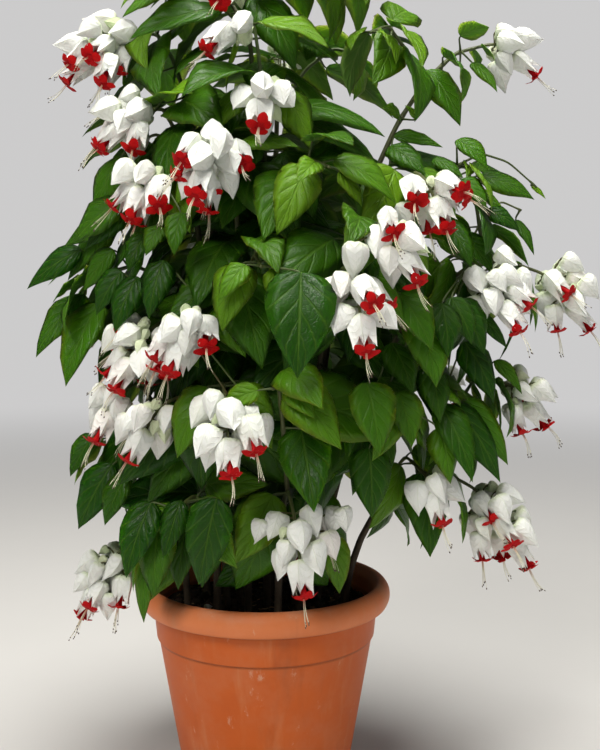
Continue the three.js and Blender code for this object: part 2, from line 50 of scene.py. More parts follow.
CLEARANCE = 0.4
SOIL = {"level": 188, "mound": 5, "roughness": 1.6, "rim": 106.6, "mouth": 111}
CANE = {"bury": 52, "rise": 8, "root": 5.2, "tip": 2.0, "segments": 8}
SHOOT = {"drop": 48, "root": 3.0, "tip": 1.8, "segments": 3}
TWIG = {"root": 1.7, "tip": 1.1, "segments": 3}
CROWN = {"radius": 190, "half_height": 330, "centre": 470}
LEAF = {
    "length": 94, "young": 58, "width": 0.60, "petiole": 15, "ages": [0.22, 0.84, 1],
    "first_pair": 17, "pair_spacing": 46, "bare_share": 0.24, "bare_height": 45,
    "bare_radius": 86, "bare_below": 690,
}
CALYX = {"length": 29, "radius": 12.5, "widest": 0.42}
COROLLA = {"tube": 4.6, "lobe": 12, "half": 4.25, "mouth": 1.09, "eye": 1.11}
STAMEN_LENGTH = 26
RACHIS = {"first_pair": 15, "pair_spacing": 15, "end": 11}
PEDICEL = 12
FINE_CANE, FINE_CALYX, FINE_LOBE = 0.70, 0.92, 0.97  # sizes here, as shares of the frame's
SAME = 0.05  # two points nearer than this are the same one
THIN_ABOVE = 560  # the crown is thinner from this height on
SMALL_LEAVED = 0.7  # a shoot whose leaves are smaller than this has shorter and fewer ones
PAIR_TURNS = [0, 35, -35, 70, -70]
LEAF_TURNS = [
    (0, 0), (14, 0), (-14, 0), (0, 14), (0, -14), (26, 6), (-26, 6), (20, -12), (-20, -12),
    (38, 0), (-38, 0), (0, 30), (30, 24), (-30, 24), (52, 8), (-52, 8), (0, -30),
]
EXTRA_TURNS = [
    (0, 0), (18, 0), (-18, 0), (0, 16), (0, -16), (34, 8), (-34, 8), (26, -14), (-26, -14),
    (50, 0), (-50, 0), (0, 32), (70, 10), (-70, 10),
]

# A cane's name, its foot's azimuth and radius, how much it arches, and its ends: azimuth, reach,
# height, flowers, how many of them are open, leaf size. An end may leave out the last ones.
CANES = [
    ("right_high", 62, 34, 0.1, (90, 234, 716, 5, 1, 0.58), (52, 194, 578, 5, 4), (58, 116, 738)),
    ("right_mid", 92, 52, 1, (88, 290, 493, 7, 2), (75, 230, 497, 7, 2),
     (80, 186, 622, 0, 0, 0.85), (69, 200, 398)),
    ("right_low", 80, 80, 1, (78, 233, 282, 9, 4), (85, 250, 389, 5, 2), (60, 181, 317, 3, 1)),
    ("front_right", 36, 56, 1, (34, 204, 529, 5, 1), (25, 205, 483, 7, 3), (46, 178, 400)),
    ("front_top", 6, 20, 1, (1, 130, 651, 5, 1), (22, 158, 604), (-6, 111, 715, 3, 1)),
    ("front_low", 10, 80, 1, (12, 153, 287, 7, 3), (4, 174, 420)),
    ("front_left", -16, 54, 1, (-16, 146, 593, 9, 5), (-22, 162, 458, 5, 2), (1, 168, 520)),
    ("front_left_low", -34, 78, 1, (-12, 174, 385, 7, 3), (-34, 157, 380, 5, 2), (-28, 152, 310)),
    ("left_mid", -54, 46, 1, (-59, 138, 643, 5, 2), (-46, 144, 586, 3, 2), (-48, 149, 443, 7, 4)),
    ("left_low", -72, 80, 1, (-57, 163, 391, 3, 1), (-76, 162, 228, 7, 3), (-88, 165, 352)),
    ("left_high", -92, 26, 1, (-79, 152, 711, 9, 4), (-88, 180, 512, 0, 0, 1.18),
     (-108, 148, 650)),
    ("top", 160, 10, 1, (-21, 75, 762, 3, 1), (75, 100, 806), (-88, 100, 800)),
    ("back_right", 122, 50, 1, (124, 182, 596, 5, 2), (113, 205, 410, 3, 1), (132, 182, 500)),
    ("back_mid", 158, 72, 1, (158, 186, 476, 3, 1), (142, 182, 330), (-176, 176, 345)),
    ("back_left", -142, 60, 1, (-148, 172, 570, 5, 2), (-132, 184, 330, 3, 1), (-156, 182, 450)),
    ("left_back", -112, 66, 1, (-112, 190, 470, 3, 1), (-105, 176, 325)),
    ("back_top", 172, 36, 1, (172, 120, 740, 3, 1), (178, 172, 636), (118, 116, 745)),
]

# ---- small helpers

UP = np.array([0.0, 0.0, 1.0])


def unit(v):
    return v / np.linalg.norm(v, axis=-1, keepdims=True)


def across(v, d):
    """The unit vector at right angles to unit vector d that is nearest to v."""
    return unit(v - np.sum(v * d, axis=-1, keepdims=True) * d)


def rotated(angle, a, b):
    """Unit vectors a and b, at right angles, turned together from a towards b."""
    c, s = math.cos(angle), math.sin(angle)
    return c * a + s * b, c * b - s * a


def polar(azimuth, radius, height):
    a = math.radians(azimuth)
    return np.array([radius * math.sin(a), -radius * math.cos(a), height])


def circle(n):
    return np.arange(n) * 2 * math.pi / n


def around(a, u, v):
    """The directions at angles a from u towards v."""
    return np.cos(a)[..., None] * u + np.sin(a)[..., None] * v


def cylindrical(radius, a, height):
    """Points at a radius, an angle from +X and a height."""
    return np.stack(np.broadcast_arrays(radius * np.cos(a), radius * np.sin(a), height), -1)


def draw(a, b):
    """A repeatable draw from 0 to 1 for each pair of numbers."""
    s = math.sin(a * 12.9898 + b * 78.233) * 43758.5453
    return s - math.floor(s)


def outward(p):
    """Outward normal of the egg-shaped crown: the gradient of its quadratic form at p."""
    r, h = CROWN["radius"], CROWN["half_height"]
    return unit(np.array([p[0] / r**2, p[1] / r**2, (p[2] - CROWN["centre"]) / h**2]))


def smooth(x, low, high):
    """0 below low, 1 above high, and the cubic 3x^2 - 2x^3 between them."""
    x = np.clip((x - low) / (high - low), 0, 1)
    return x * x * (3 - 2 * x)


def columns(rows, *keys):
    """What the rows hold under each key, as arrays."""
    return [np.array([row[key] for row in rows], float) for key in keys]


def add_object(name, data):
    made = bpy.data.objects.new(name, data)
    bpy.context.scene.collection.objects.link(made)
    return made


def mesh_of(name, points, faces):
    """A mesh of points in mm."""
    mesh = bpy.data.meshes.new(name)
    mesh.from_pydata((points / 1000).tolist(), [], faces)
    return mesh


# ---- closed skins


class Heap:
    """Closed skins gathered into one mesh, with a UV, a tone and an age at each point."""

    def __init__(self):
        self.points, self.faces, self.finish, self.uv, self.tone, self.age = ([] for _ in range(6))
        self.count = 0

    def add(self, points, faces, finish=0, uv=(0, 0), tone=0.0, age=0.0):
        """points is (n, 3) in mm; faces is a list of arrays of point numbers; finish is the
        material's number, one for all or a list with an array for each of those arrays; tone and
        age are one for all, for each skin or for each point."""
        n = len(points)
        self.points.append(points)
        for k, group in enumerate(faces):
            self.faces += (group + self.count).tolist()
            kind = finish[k] if isinstance(finish, list) else finish
            self.finish.append(np.broadcast_to(kind, len(group)))
        self.uv.append(np.broadcast_to(uv, (n, 2)))
        self.tone.append(np.repeat(tone, n // np.size(tone)))
        self.age.append(np.repeat(age, n // np.size(age)))
        self.count += n

    def piece(self, name, materials, slot, nodes=(), crease=None):
        """The gathered skins as one object that rides on the plant's only body."""
        mesh = mesh_of(name, np.concatenate(self.points), self.faces)
        mesh.polygons.foreach_set("material_index", np.concatenate(self.finish).astype(np.int32))
        mesh.polygons.foreach_set("use_smooth", np.full(len(self.faces), True))
        at = np.empty(len(mesh.loops), np.int32)
        mesh.loops.foreach_get("vertex_index", at)
        layer = mesh.uv_layers.new(name="UVMap")
        layer.data.foreach_set("uv", np.concatenate(self.uv)[at].astype(np.float32).ravel())
        for label, values in (("tone", self.tone), ("age", self.age)):
            attribute = mesh.attributes.new(label, "FLOAT", "POINT")
            attribute.data.foreach_set("value", np.concatenate(values).astype(np.float32))
        mesh.update()
        if crease:
            mesh.set_sharp_from_angle(angle=math.radians(crease))
        for material in materials:
            mesh.materials.append(material)
        piece = add_object(name, mesh)
        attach(piece, "root")
        if nodes:
            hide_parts(*nodes)
        return piece


def loft(rings, start, end):
    """Closed skins through rings of points, (n, k, m, 3), with a pole at each end, (n, 3).
    Ring points run counter-clockwise about the way from start to end, so the quads between
    rings, and the fans to the poles, face outwards. Returns points and [quads, fans]."""
    n, k, m, _ = rings.shape
    points = np.concatenate([rings.reshape(n, k * m, 3), start[:, None], end[:, None]], axis=1)
    step = (np.arange(n) * (k * m + 2))[:, None, None]
    ring, last, here = np.arange(k - 1)[:, None] * m, (k - 1) * m, np.arange(m)
    there = (here + 1) % m
    quads = np.stack([ring + here, ring + there, ring + m + there, ring + m + here], -1)
    fan0 = np.stack([np.full(m, k * m), there, here], -1)
    fan1 = np.stack([last + here, last + there, np.full(m, k * m + 1)], -1)
    quads = (quads.reshape(1, -1, 4) + step).reshape(-1, 4)
    fans = (np.concatenate([fan0, fan1])[None] + step).reshape(-1, 3)
    return points.reshape(-1, 3), [quads, fans]


def tubes(paths, radii, side, sides, squareness=0.0):
    """Round tubes along paths (n, k, 3) with radii (n, k). Each ring lies at right angles to the
    path's direction there, and starts towards side (n, 3). Squareness swells the corners of
    a four-sided stem: r (1 + q cos(4 angle)). The ends are closed by a low dome."""
    ahead = unit(np.gradient(paths, axis=1))
    u = across(np.atleast_2d(side)[:, None], ahead)
    v = np.cross(ahead, u)
    a, radii = circle(sides), np.broadcast_to(radii, paths.shape[:2])
    swell = radii[:, :, None] * (1 + squareness * np.cos(4 * a))
    rings = paths[:, :, None] + swell[..., None] * around(a, u[:, :, None], v[:, :, None])
    start = paths[:, 0] - 0.4 * radii[:, :1] * ahead[:, 0]
    end = paths[:, -1] + 0.4 * radii[:, -1:] * ahead[:, -1]
    return loft(rings, start, end)


def bezier(knots, k):
    """k points on Bezier curves with n + 1 knots, a list of arrays (m, 3): each knot counts for
    C(n, i) t^i (1 - t)^(n - i)."""
    t, n = np.linspace(0, 1, k)[None, :, None], len(knots) - 1
    return sum(
        math.comb(n, i) * t**i * (1 - t) ** (n - i) * np.asarray(q, float)[:, None]
        for i, q in enumerate(knots)
    )


# ---- stems and sprays


class Course:
    """A run of straight lengths between knots on a Bezier curve; t goes from 0 to 1."""

    def __init__(self, controls, segments):
        self.controls, self.segments = [[c] for c in controls], segments
        self.knots = bezier(self.controls, segments + 1)[0]
        self.length = np.linalg.norm(np.diff(self.knots, axis=0), axis=1).sum()

    def point(self, t):
        k = np.minimum(np.asarray(t) * self.segments, self.segments - 1).astype(int)
        f = (t * self.segments - k)[..., None]
        return self.knots[k] * (1 - f) + self.knots[k + 1] * f

    def direction(self, t):
        k = int(min(t * self.segments, self.segments - 1))
        return unit(self.knots[k + 1] - self.knots[k])

    def eased(self, each):
        """Points along the course, each of the lengths cut in `each`, with the corners eased
        by averaging every point with its neighbours twice over. The ends stay."""
        p = self.point(np.linspace(0, 1, self.segments * each + 1))
        for _ in range(2):
            p[1:-1] = 0.25 * p[:-2] + 0.5 * p[1:-1] + 0.25 * p[2:]
        return p


class Stem(Course):
    def __init__(self, root, end, kind, seed, leaf_size=1, arch=1):
        run = np.array([end[0] - root[0], end[1] - root[1], 0.0])
        reach, rise = np.linalg.norm(run), end[2] - root[2]
        if kind is CANE:
            first = root + 0.08 * run + (0.62 * rise + 16) * UP
        else:
            first = root + 0.30 * run + (0.5 * max(rise, 0) + 0.28 * reach) * UP
        second = root + 0.62 * run + (rise + arch * (0.17 * reach + 16)) * UP
        super().__init__([root, first, second, end], kind["segments"])
        self.side = unit(np.cross(unit(run), UP))
        self.kind, self.seed, self.leaf_size = kind, seed, leaf_size
        self.leaves, self.spray = [], None
        self.joints = []  # shares of the length where leaves stand

    def radius(self, t):
        return self.kind["root"] + (self.kind["tip"] - self.kind["root"]) * t


def rachis_length(flowers):
    between = max((flowers - 1) // 2 - 1, 0)
    return RACHIS["first_pair"] + RACHIS["pair_spacing"] * between + RACHIS["end"]


def stem_end(azimuth, reach, height, flowers, *_):
    if not flowers:
        return polar(azimuth, reach, height)
    length = rachis_length(flowers)
    return polar(azimuth, reach - 0.5 * length, height + 12 + 0.35 * length)


def stems_of(number, azimuth, radius, arch, ends):
    """A cane's own stem, then a side shoot to each further end."""
    root = polar(azimuth, radius, SOIL["level"] + CANE["rise"])
    own = Stem(root, stem_end(*ends[0]), CANE, number * 10, ends[0][5], arch)
    stems = [own]
    for k, end in enumerate(ends[1:], 1):
        place = stem_end(*end)
        steps = [0.12 + 0.05 * n for n in range(15)]
        t = min(steps, key=lambda s: abs(own.point(s)[2] - (place[2] - SHOOT["drop"])))
        stems.append(Stem(own.point(t), place, SHOOT, number * 10 + k, end[5]))
    return stems


class Spray(Course):
    def __init__(self, stem, flowers, opened):
        ahead = stem.direction(1)
        start = stem.point(1) + CLEARANCE * ahead
        length = rachis_length(flowers)
        bend = start + 0.45 * length * ahead
        end = bend + 0.25 * length * ahead - 0.40 * length * UP
        super().__init__([start, bend, end], 2)
        self.stem, self.pairs, self.rachis = stem, (flowers - 1) // 2, length
        self.open_share = (opened - 1) / (flowers - 1)
        self.last_open = opened > 0
        self.nod = 0.5 + 0.4 * max(math.cos(math.atan2(start[0], -start[1])), 0)

    def flower(self, pair, sign, turn, share=None):
        """The flower at one end of a pair, for one of the turns that the pair may take."""
        seed = self.stem.seed * 7 + pair * 2 + (sign > 0)
        t = share or (RACHIS["first_pair"] + RACHIS["pair_spacing"] * pair) / self.rachis
        centre, ahead = self.point(t), self.direction(t)
        u = across(self.stem.side, ahead)
        v = np.cross(ahead, u)
        angle = math.radians(90 * (pair % 2) + turn + 16 * (draw(self.stem.seed, pair + 40) - 0.5))
        out = sign * math.cos(angle) * u + sign * math.sin(angle) * v
        lean = 0.62 * out + (0.42 + 0.2 * draw(seed, 5)) * outward(centre) + 0.35 * ahead
        return {
            "centre": centre, "base": centre + PEDICEL * out, "axis": unit(lean - self.nod * UP),
            "side": out, "seed": seed, "size": 0.88 + 0.24 * draw(seed, 6),
            "open": draw(seed, 7) < self.open_share,
        }


def gaps(name, wanted):
    """How far each of the wanted points is from a CAD node's nearest point, in mm."""
    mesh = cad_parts[name].data
    co = np.empty(len(mesh.vertices) * 3, np.float32)
    mesh.vertices.foreach_get("co", co)
    points = co.reshape(1, -1, 3).astype(float) * 1000
    return np.linalg.norm(points - wanted[:, None], axis=-1).min(axis=1)


def five_angles(flower):
    """The five points of the calyx at its widest, with the first towards the flower's side."""
    u = across(flower["side"], flower["axis"])
    v = np.cross(flower["axis"], u)
    middle = flower["base"] + CALYX["length"] * CALYX["widest"] * flower["size"] * flower["axis"]
    return middle + CALYX["radius"] * flower["size"] * around(circle(5), u, v)


def flowers_of(name, spray):
    """The spray's flowers as they stand in the frame: the one at its end, and each pair with the
    turn that it took there."""
    found = [{
        "centre": spray.point(0.8), "base": spray.point(1), "axis": spray.direction(1),
        "side": spray.stem.side, "seed": spray.stem.seed * 7 + 99, "size": 1.0,
        "open": spray.last_open, "on_rachis": True,
    }]
    for pair in range(spray.pairs):
        for turn in PAIR_TURNS:
            both = [spray.flower(pair, sign, turn) for sign in (1, -1)]
            angles = np.concatenate([five_angles(f) for f in both])
            if (gaps(name, angles) < SAME).sum() >= 6:
                found += both
                break
    return found


# ---- leaves


def is_bare(stem, t):
    x, y, z = stem.point(t)
    return (
        t < LEAF["bare_share"] or z < SOIL["level"] + LEAF["bare_height"]
        or (z < LEAF["bare_below"] and math.hypot(x, y) < LEAF["bare_radius"])
    )


def leaf_on(stem, t, out, **rest):
    """A leaf, whose stalk leaves the inside of the stem along out."""
    return {"root": stem.point(t) + 0.5 * stem.radius(t) * out, "out": out, **rest}


def leaf_at(stem, t, seed, sign, degrees, age, turn, length=None):
    """One leaf: its petiole from the stem's middle, and the frame in which its blade arches."""
    centre, ahead = stem.point(t), stem.direction(t)
    u = across(stem.side, ahead)
    v = np.cross(u, ahead)
    face = outward(centre)
    if v @ face < 0:
        v = -v
    angle = math.radians(degrees)
    out = sign * math.cos(angle) * u + sign * math.sin(angle) * v
    if length is None:
        length = LEAF["young"] + (LEAF["length"] - LEAF["young"]) * age
    length *= (0.88 + 0.24 * draw(seed, 1)) * stem.leaf_size
    base = centre + (LEAF["petiole"] * (0.7 + 0.3 * age) + stem.radius(t)) * out
    heading = unit(0.72 * out + 0.40 * face + 0.22 * ahead - (0.46 + 0.36 * draw(seed, 2)) * UP)
    normal = across(0.9 * face + 0.55 * UP, heading)
    swing, lift = map(math.radians, turn)
    heading, normal = rotated(lift, rotated(swing, heading, np.cross(normal, heading))[0], normal)
    return leaf_on(
        stem, t, out, base=base, length=length, seed=seed, age=age, heading=heading,
        normal=normal, arch=math.radians(34 + 34 * draw(seed, 3)), width=LEAF["width"],
    )


def blade_lines(leaves, shares):
    """The midribs of leaves at shares of their length. Each is an arc that starts along the
    heading and bends away from the normal: point = base + bow sin(a) heading
    - bow (1 - cos(a)) normal, where a = arch x share and bow = length / arch."""
    base, heading, normal, arch, length = (
        v.reshape(len(leaves), 1, -1)
        for v in columns(leaves, "base", "heading", "normal", "arch", "length")
    )
    a, bow = arch * shares[:, None], length / arch
    point = base + bow * np.sin(a) * heading - bow * (1 - np.cos(a)) * normal
    ahead = np.cos(a) * heading - np.sin(a) * normal
    up = np.cos(a) * normal + np.sin(a) * heading
    return point, up, np.cross(up, ahead)


def tips(leaves):
    return blade_lines(leaves, np.ones(1))[0][:, 0]


def leaf_surface(leaves, shares, w):
    """Upper sides of leaves at shares s of their length and at w from -1 to 1 across, as points
    (n, k, m, 3). The half width is ovate and drawn out to a long point:
    2.75 sqrt(s) (1 - s)^1.15 of the greatest. The blade rises from the sunken midrib and rolls
    over to the margin: lift = half (fold |w| - roll w^2). The margin waves with
    sin(2 pi (turns s + phase)), more on one side than on the other, and the midrib bends
    sideways with s^2 (1 - s). Also returns the blades' upward directions and each leaf's eight
    draws."""
    point, up, wide = blade_lines(leaves, shares)
    r = np.array([
        [draw(leaf["seed"] + 0.37 * leaf.get("form", 0), 20 + k) for k in range(8)]
        for leaf in leaves
    ])
    c, s = r.T[:, :, None, None], shares[:, None]
    length, width = (v[:, None, None] for v in columns(leaves, "length", "width"))
    half = 0.5 * width * length * (2.75 * np.sqrt(s) * (1 - s) ** 1.15) * (0.94 + 0.1 * c[0])
    lift = half * ((0.28 + 0.28 * c[1]) * np.abs(w) - (0.20 + 0.40 * c[2]) * w**2)
    wave = np.sin(2 * math.pi * ((1.2 + 1.6 * c[3]) * s + c[4]) + 2.1 * (w > 0))
    lift = lift + 0.10 * half * wave * np.abs(w) ** 2
    sideways = half * w + (c[5] - 0.5) * 0.16 * length * s**2 * (1 - s)
    surface = point[:, :, None] + sideways[..., None] * wide[:, :, None]
    return surface + lift[..., None] * up[:, :, None], up, r


def share_kept(stem, leaf):
    """How much of its length a leaf keeps: less low over the pot's mouth, on a small-leaved
    shoot, and where a tip on the right hangs near the soil's level."""
    x, y, z = leaf["base"]
    if math.hypot(x, y) < 100 and z < SOIL["level"] + 76:
        return 0.55
    if stem.leaf_size < SMALL_LEAVED:
        return 0.75
    return 0.72 if x > 80 and tips([leaf])[0, 2] < SOIL["level"] + 74 else 1


def leaves_of(name, stem):
    """The leaves as they stand in the frame, each with the turn that it took there."""
    found = []
    for pair, age in enumerate(LEAF["ages"]):
        t = 1 - (LEAF["first_pair"] + LEAF["pair_spacing"] * pair) / stem.length
        if is_bare(stem, t):
            continue
        degrees = (38 if pair % 2 else -6) + 24 * (draw(stem.seed, pair + 60) - 0.5)
        for sign in (1, -1):
            seed = stem.seed * 11 + pair * 2 + (sign > 0)
            ways = [leaf_at(stem, t, seed, sign, degrees, age, turn) for turn in LEAF_TURNS]
            away = gaps(name, tips(ways))
            if away.min() > SAME:
                continue
            leaf = ways[away.argmin()]
            leaf["length"] *= share_kept(stem, leaf)
            found.append(leaf)
            stem.joints.append(t)
    return found


class Room:
    """What is already placed, to keep added leaves and flowers from growing through it."""

    def __init__(self):
        self.trees, self.boxes = [], []

    def is_free(self, points, faces):
        low, high = points.min(axis=0) - 0.5, points.max(axis=0) + 0.5
        boxes = np.array(self.boxes)
        near = np.nonzero(((boxes[:, 0] < high) & (boxes[:, 1] > low)).all(axis=1))[0]
        own = BVHTree.FromPolygons(points.tolist(), faces)
        return not any(own.overlap(self.trees[k]) for k in near)

    def add(self, points, faces):
        self.trees.append(BVHTree.FromPolygons(points.tolist(), faces))
        self.boxes.append((points.min(axis=0), points.max(axis=0)))


room = Room()
COARSE = np.array([0.004, 0.1, 0.28, 0.5, 0.74, 0.98])


def coarse_blade(leaf, gap=0.0):
    """A leaf as a sheet of 5 x 6 points, for trying where it fits; with a gap, as two sheets that
    far above and below it."""
    sheet, up, _ = leaf_surface([leaf], COARSE, np.array([-1, -0.5, 0, 0.5, 1]))
    away = gap * up[:, :, None]
    sheets = np.concatenate([sheet + away, sheet - away] if gap else [sheet])
    first = [30 * n + 5 * k + m for n in range(len(sheets)) for k in range(5) for m in range(4)]
    return sheets.reshape(-1, 3), [[c, c + 1, c + 6, c + 5] for c in first]


def settle(leaf):
    """Gives a leaf the first of its forms, of fold, roll and wave, that is clear of the rest."""
    for leaf["form"] in range(7):
        if room.is_free(*coarse_blade(leaf, 0.8)):
            break
    room.add(*coarse_blade(leaf))


def coarse_flower(flower):
    """A flower as a plain five-sided body, a little slack, for trying where it fits."""
    base, ring = flower["base"], five_angles(flower)
    ring = ring.mean(axis=0) + 0.86 * (ring - ring.mean(axis=0))
    length = CALYX["length"] * flower["size"]
    tip = base + length * (1.35 if flower["open"] else 1.0) * flower["axis"]
    pairs = [(k, (k + 1) % 5) for k in range(5)]
    faces = [[5 + k, 5 + j, j, k] for k, j in pairs] + [[k, j, 10] for k, j in pairs]
    return np.concatenate([ring, base + 0.12 * (ring - base), tip[None]]), faces


# Flowers beyond the frame's, for the sprays that are fullest. The others have one, or none at
# the top.
MORE_FLOWERS = dict(
    left_high_1=7, left_mid_1=7, front_left_1=6, left_mid_2=4, front_top_1=1, right_high_2=1,
    front_right_1=2, front_right_2=3, right_mid_1=6, right_mid_2=6, right_low_1=7, right_low_2=3,
    right_low_3=1, left_mid_3=6, front_left_2=5, front_left_low_1=6, front_left_low_2=4,
    left_low_1=3, left_low_2=5, front_low_1=7, right_high_1=3,
)


def flower_in_gap(spray, k, seed, share, first, size, reaches, nod, chances, **more):
    """One more flower for a spray, at the first reach of its stalk and the first turn where it is
    clear of everything else. The chances to be open are for the left half and for the right."""
    for far in reaches:
        for turn in range(0, 360, 40):
            flower = spray.flower(k, 1, first + turn, share)
            base = flower["centre"] + (flower["base"] - flower["centre"]) * far
            flower.update(
                base=base, seed=seed, size=size, axis=unit(flower["axis"] - nod * UP),
                open=draw(seed, 7) < chances[int(base[0] >= 0)], **more,
            )
            if room.is_free(*coarse_flower(flower)):
                room.add(*coarse_flower(flower))
                spray.flowers.append(flower)
                return


def more_flowers(key, spray):
    own = spray.stem.seed
    for k in range(MORE_FLOWERS.get(key, 0 if "top" in key else 1)):
        seed, share = own * 7 + 300 + k, 0.30 + 0.62 * draw(own, 170 + k)
        size = 0.78 + 0.22 * draw(seed, 6)
        first = 360 * draw(own, 190 + k)
        flower_in_gap(spray, k, seed, share, first, size, (1.0, 1.5, 2.0), 0.5, (0.36, 0.12))


def young_buds(spray):
    """Small greenish calyces that haven't opened yet, on thinner stalks between the pairs."""
    own = spray.stem.seed
    for k in range(2 + spray.pairs):
        size, share = 0.34 + 0.30 * draw(own, 80 + k), 0.25 + 0.6 * draw(own, 70 + k)
        first, reach = 45 + 90 * draw(own, 90 + k), 0.75 + 0.5 * size
        seed = own * 7 + 200 + k
        flower_in_gap(spray, k, seed, share, first, size, (reach,), 0, (0, 0), bud=1)


# Flowers that hang at the sides of their sprays: spray, share of its rachis, base, tip.
HUNG_FLOWERS = [
    ("front_right_1", 0.30, 79, -192, 538, 77, -196, 509),
    ("front_left_2", 0.55, 0, -150, 396, 8, -155, 371),
    ("front_left_2", 0.70, -13, -150, 391, -20, -155, 365),
    ("front_low_1", 0.45, 66, -135, 315, 62, -140, 290),
    ("front_low_1", 0.35, 3, -140, 304, -3, -146, 284),
    ("front_low_1", 0.60, 69, -140, 315, 76, -144, 295),
]


def hang_flowers():
    for k, (key, share, *ends) in enumerate(HUNG_FLOWERS):
        centre = sprays[key].point(share)
        base, tip = np.array(ends, float).reshape(2, 3)
        flower = {
            "centre": centre, "base": base, "axis": unit(tip - base), "side": unit(base - centre),
            "seed": 8800 + k, "size": np.linalg.norm(tip - base) / CALYX["length"], "open": False,
        }
        room.add(*coarse_flower(flower))
        sprays[key].flowers.append(flower)


def hangs_clear(leaf):
    """Whether an added leaf leaves the pot's mouth open: its tip stays over the soil, and higher
    on the right, where the crown's underside rises."""
    x, y, z = tips([leaf])[0]
    lowest = SOIL["level"] + 52 + 70 * smooth(x, 0, 50)
    return z > lowest or (math.hypot(x, y) > 150 and z > 205 and x < 0)


def hung_leaf(stem, t, base, tip, width, age, seed, face):
    """A large leaf, with its stalk's end and its tip given. The blade's arc has the
    line between them as its chord: length = chord x (arch / 2) / sin(arch / 2)."""
    chord, half = tip - base, math.radians(19)
    length = np.linalg.norm(chord) * half / math.sin(half)
    chord = unit(chord)
    heading, normal = rotated(half, chord, across(face, chord))
    return leaf_on(
        stem, t, unit(base - stem.point(t)), base=base, length=length, seed=seed, age=age,
        heading=heading, normal=normal, arch=2 * half, width=width,
    )


# Large leaves that hang at the crown's edge and front: end of the stalk, tip, width as a share of
# the length, age.
HUNG_LEAVES = [
    (-175, -30, 543, -230, -22, 505, 0.46, 1), (-180, -22, 504, -222, -46, 443, 0.50, 1),
    (-156, -26, 489, -184, -52, 411, 0.50, 1), (-128, -34, 575, -190, -38, 545, 0.50, 1),
    (187, -70, 402, 229, -66, 340, 0.40, 1), (174, -76, 398, 216, -84, 326, 0.42, 1),
    (158, -84, 398, 184, -108, 330, 0.46, 1), (148, -60, 332, 155, -80, 256, 0.58, 1),
    (-96, -126, 317, -116, -140, 253, 0.50, 1), (34, -166, 508, 31, -188, 424, 0.66, 1),
    (115, -112, 456, 132, -134, 412, 0.62, 0.7), (150, -100, 436, 157, -124, 386, 0.60, 0.8),
    (178, -90, 496, 202, -100, 446, 0.66, 1), (186, -72, 456, 212, -82, 400, 0.52, 1),
    (119, -122, 413, 129, -138, 366, 0.62, 0.8), (138, -112, 478, 152, -134, 418, 0.64, 1),
    (120, -132, 500, 147, -144, 450, 0.60, 0.9), (157, -102, 379, 166, -114, 330, 0.56, 0.7),
    (94, -132, 366, 96, -144, 306, 0.62, 1), (218, -42, 436, 242, -50, 404, 0.40, 0.6),
    (-86, -102, 302, -91, -118, 230, 0.50, 1), (-40, -122, 312, -52, -124, 240, 0.58, 1),
    (-66, -112, 302, -75, -119, 236, 0.46, 0.8), (64, -112, 284, 70, -108, 230, 0.46, 0.3),
    (88, -136, 420, 98, -150, 360, 0.64, 1), (-132, -50, 628, -160, -50, 568, 0.56, 1),
    (-123, -70, 578, -165, -60, 541, 0.50, 1), (-125, -60, 577, -170, -50, 541, 0.60, 1),
    (-141, -30, 574, -191, -20, 513, 0.46, 1), (-102, -100, 553, -117, -110, 518, 0.60, 0.9),
    (-87, -120, 558, -98, -130, 531, 0.62, 0.8), (-66, -140, 567, -71, -150, 530, 0.56, 0.9),
    (-136, -60, 539, -167, -50, 500, 0.56, 1), (-126, -90, 520, -149, -90, 480, 0.56, 1),
    (-108, -100, 513, -127, -110, 463, 0.60, 1), (-84, -120, 528, -96, -130, 477, 0.60, 1),
    (-158, -40, 364, -181, -40, 324, 0.50, 0.9), (-142, -60, 340, -175, -60, 278, 0.55, 1),
    (-125, -80, 334, -146, -80, 286, 0.50, 1), (122, -50, 647, 168, -50, 636, 0.36, 0.8),
    (130, -30, 668, 111, -50, 673, 0.70, 0.3), (114, -80, 630, 144, -100, 601, 0.62, 1),
    (177, -30, 638, 204, -40, 608, 0.62, 0.8), (208, -20, 614, 261, -20, 591, 0.48, 0.9),
    (260, -10, 606, 274, -10, 593, 0.40, 0.2), (203, -40, 604, 233, -50, 575, 0.34, 0.8),
    (181, -60, 603, 203, -70, 575, 0.66, 1), (208, -50, 577, 238, -50, 556, 0.60, 1),
    (243, -20, 572, 259, -30, 537, 0.36, 0.7), (157, -60, 624, 184, -70, 605, 0.50, 0.9),
    (169, -80, 566, 189, -100, 524, 0.62, 1), (188, -70, 558, 215, -80, 521, 0.60, 1),
    (145, -30, 666, 134, -30, 679, 0.60, 0.2), (169, -100, 496, 186, -110, 454, 0.60, 1),
    (159, -110, 491, 162, -130, 443, 0.60, 1), (200, -60, 482, 228, -60, 449, 0.40, 0.7),
    (-100, -126, 273, -104, -132, 210, 0.30, 1), (-68, -130, 319, -83, -138, 270, 0.46, 1),
    (-35, -138, 323, -51, -134, 247, 0.54, 1), (-34, -50, 744, -116, -60, 714, 0.46, 0.9),
    (-81, -40, 767, -122, -50, 736, 0.40, 0.6), (156, -22, 714, 186, -36, 658, 0.62, 1),
    (199, -22, 721, 221, -34, 690, 0.50, 0.6),
]
# Fine twigs that carry some of them: cane, which of its stems, share of its length, far end.
TWIGS = [("right_mid", 2, 1.0, (264, -14, 604)), ("right_mid", 1, 0.85, (246, -30, 580))]


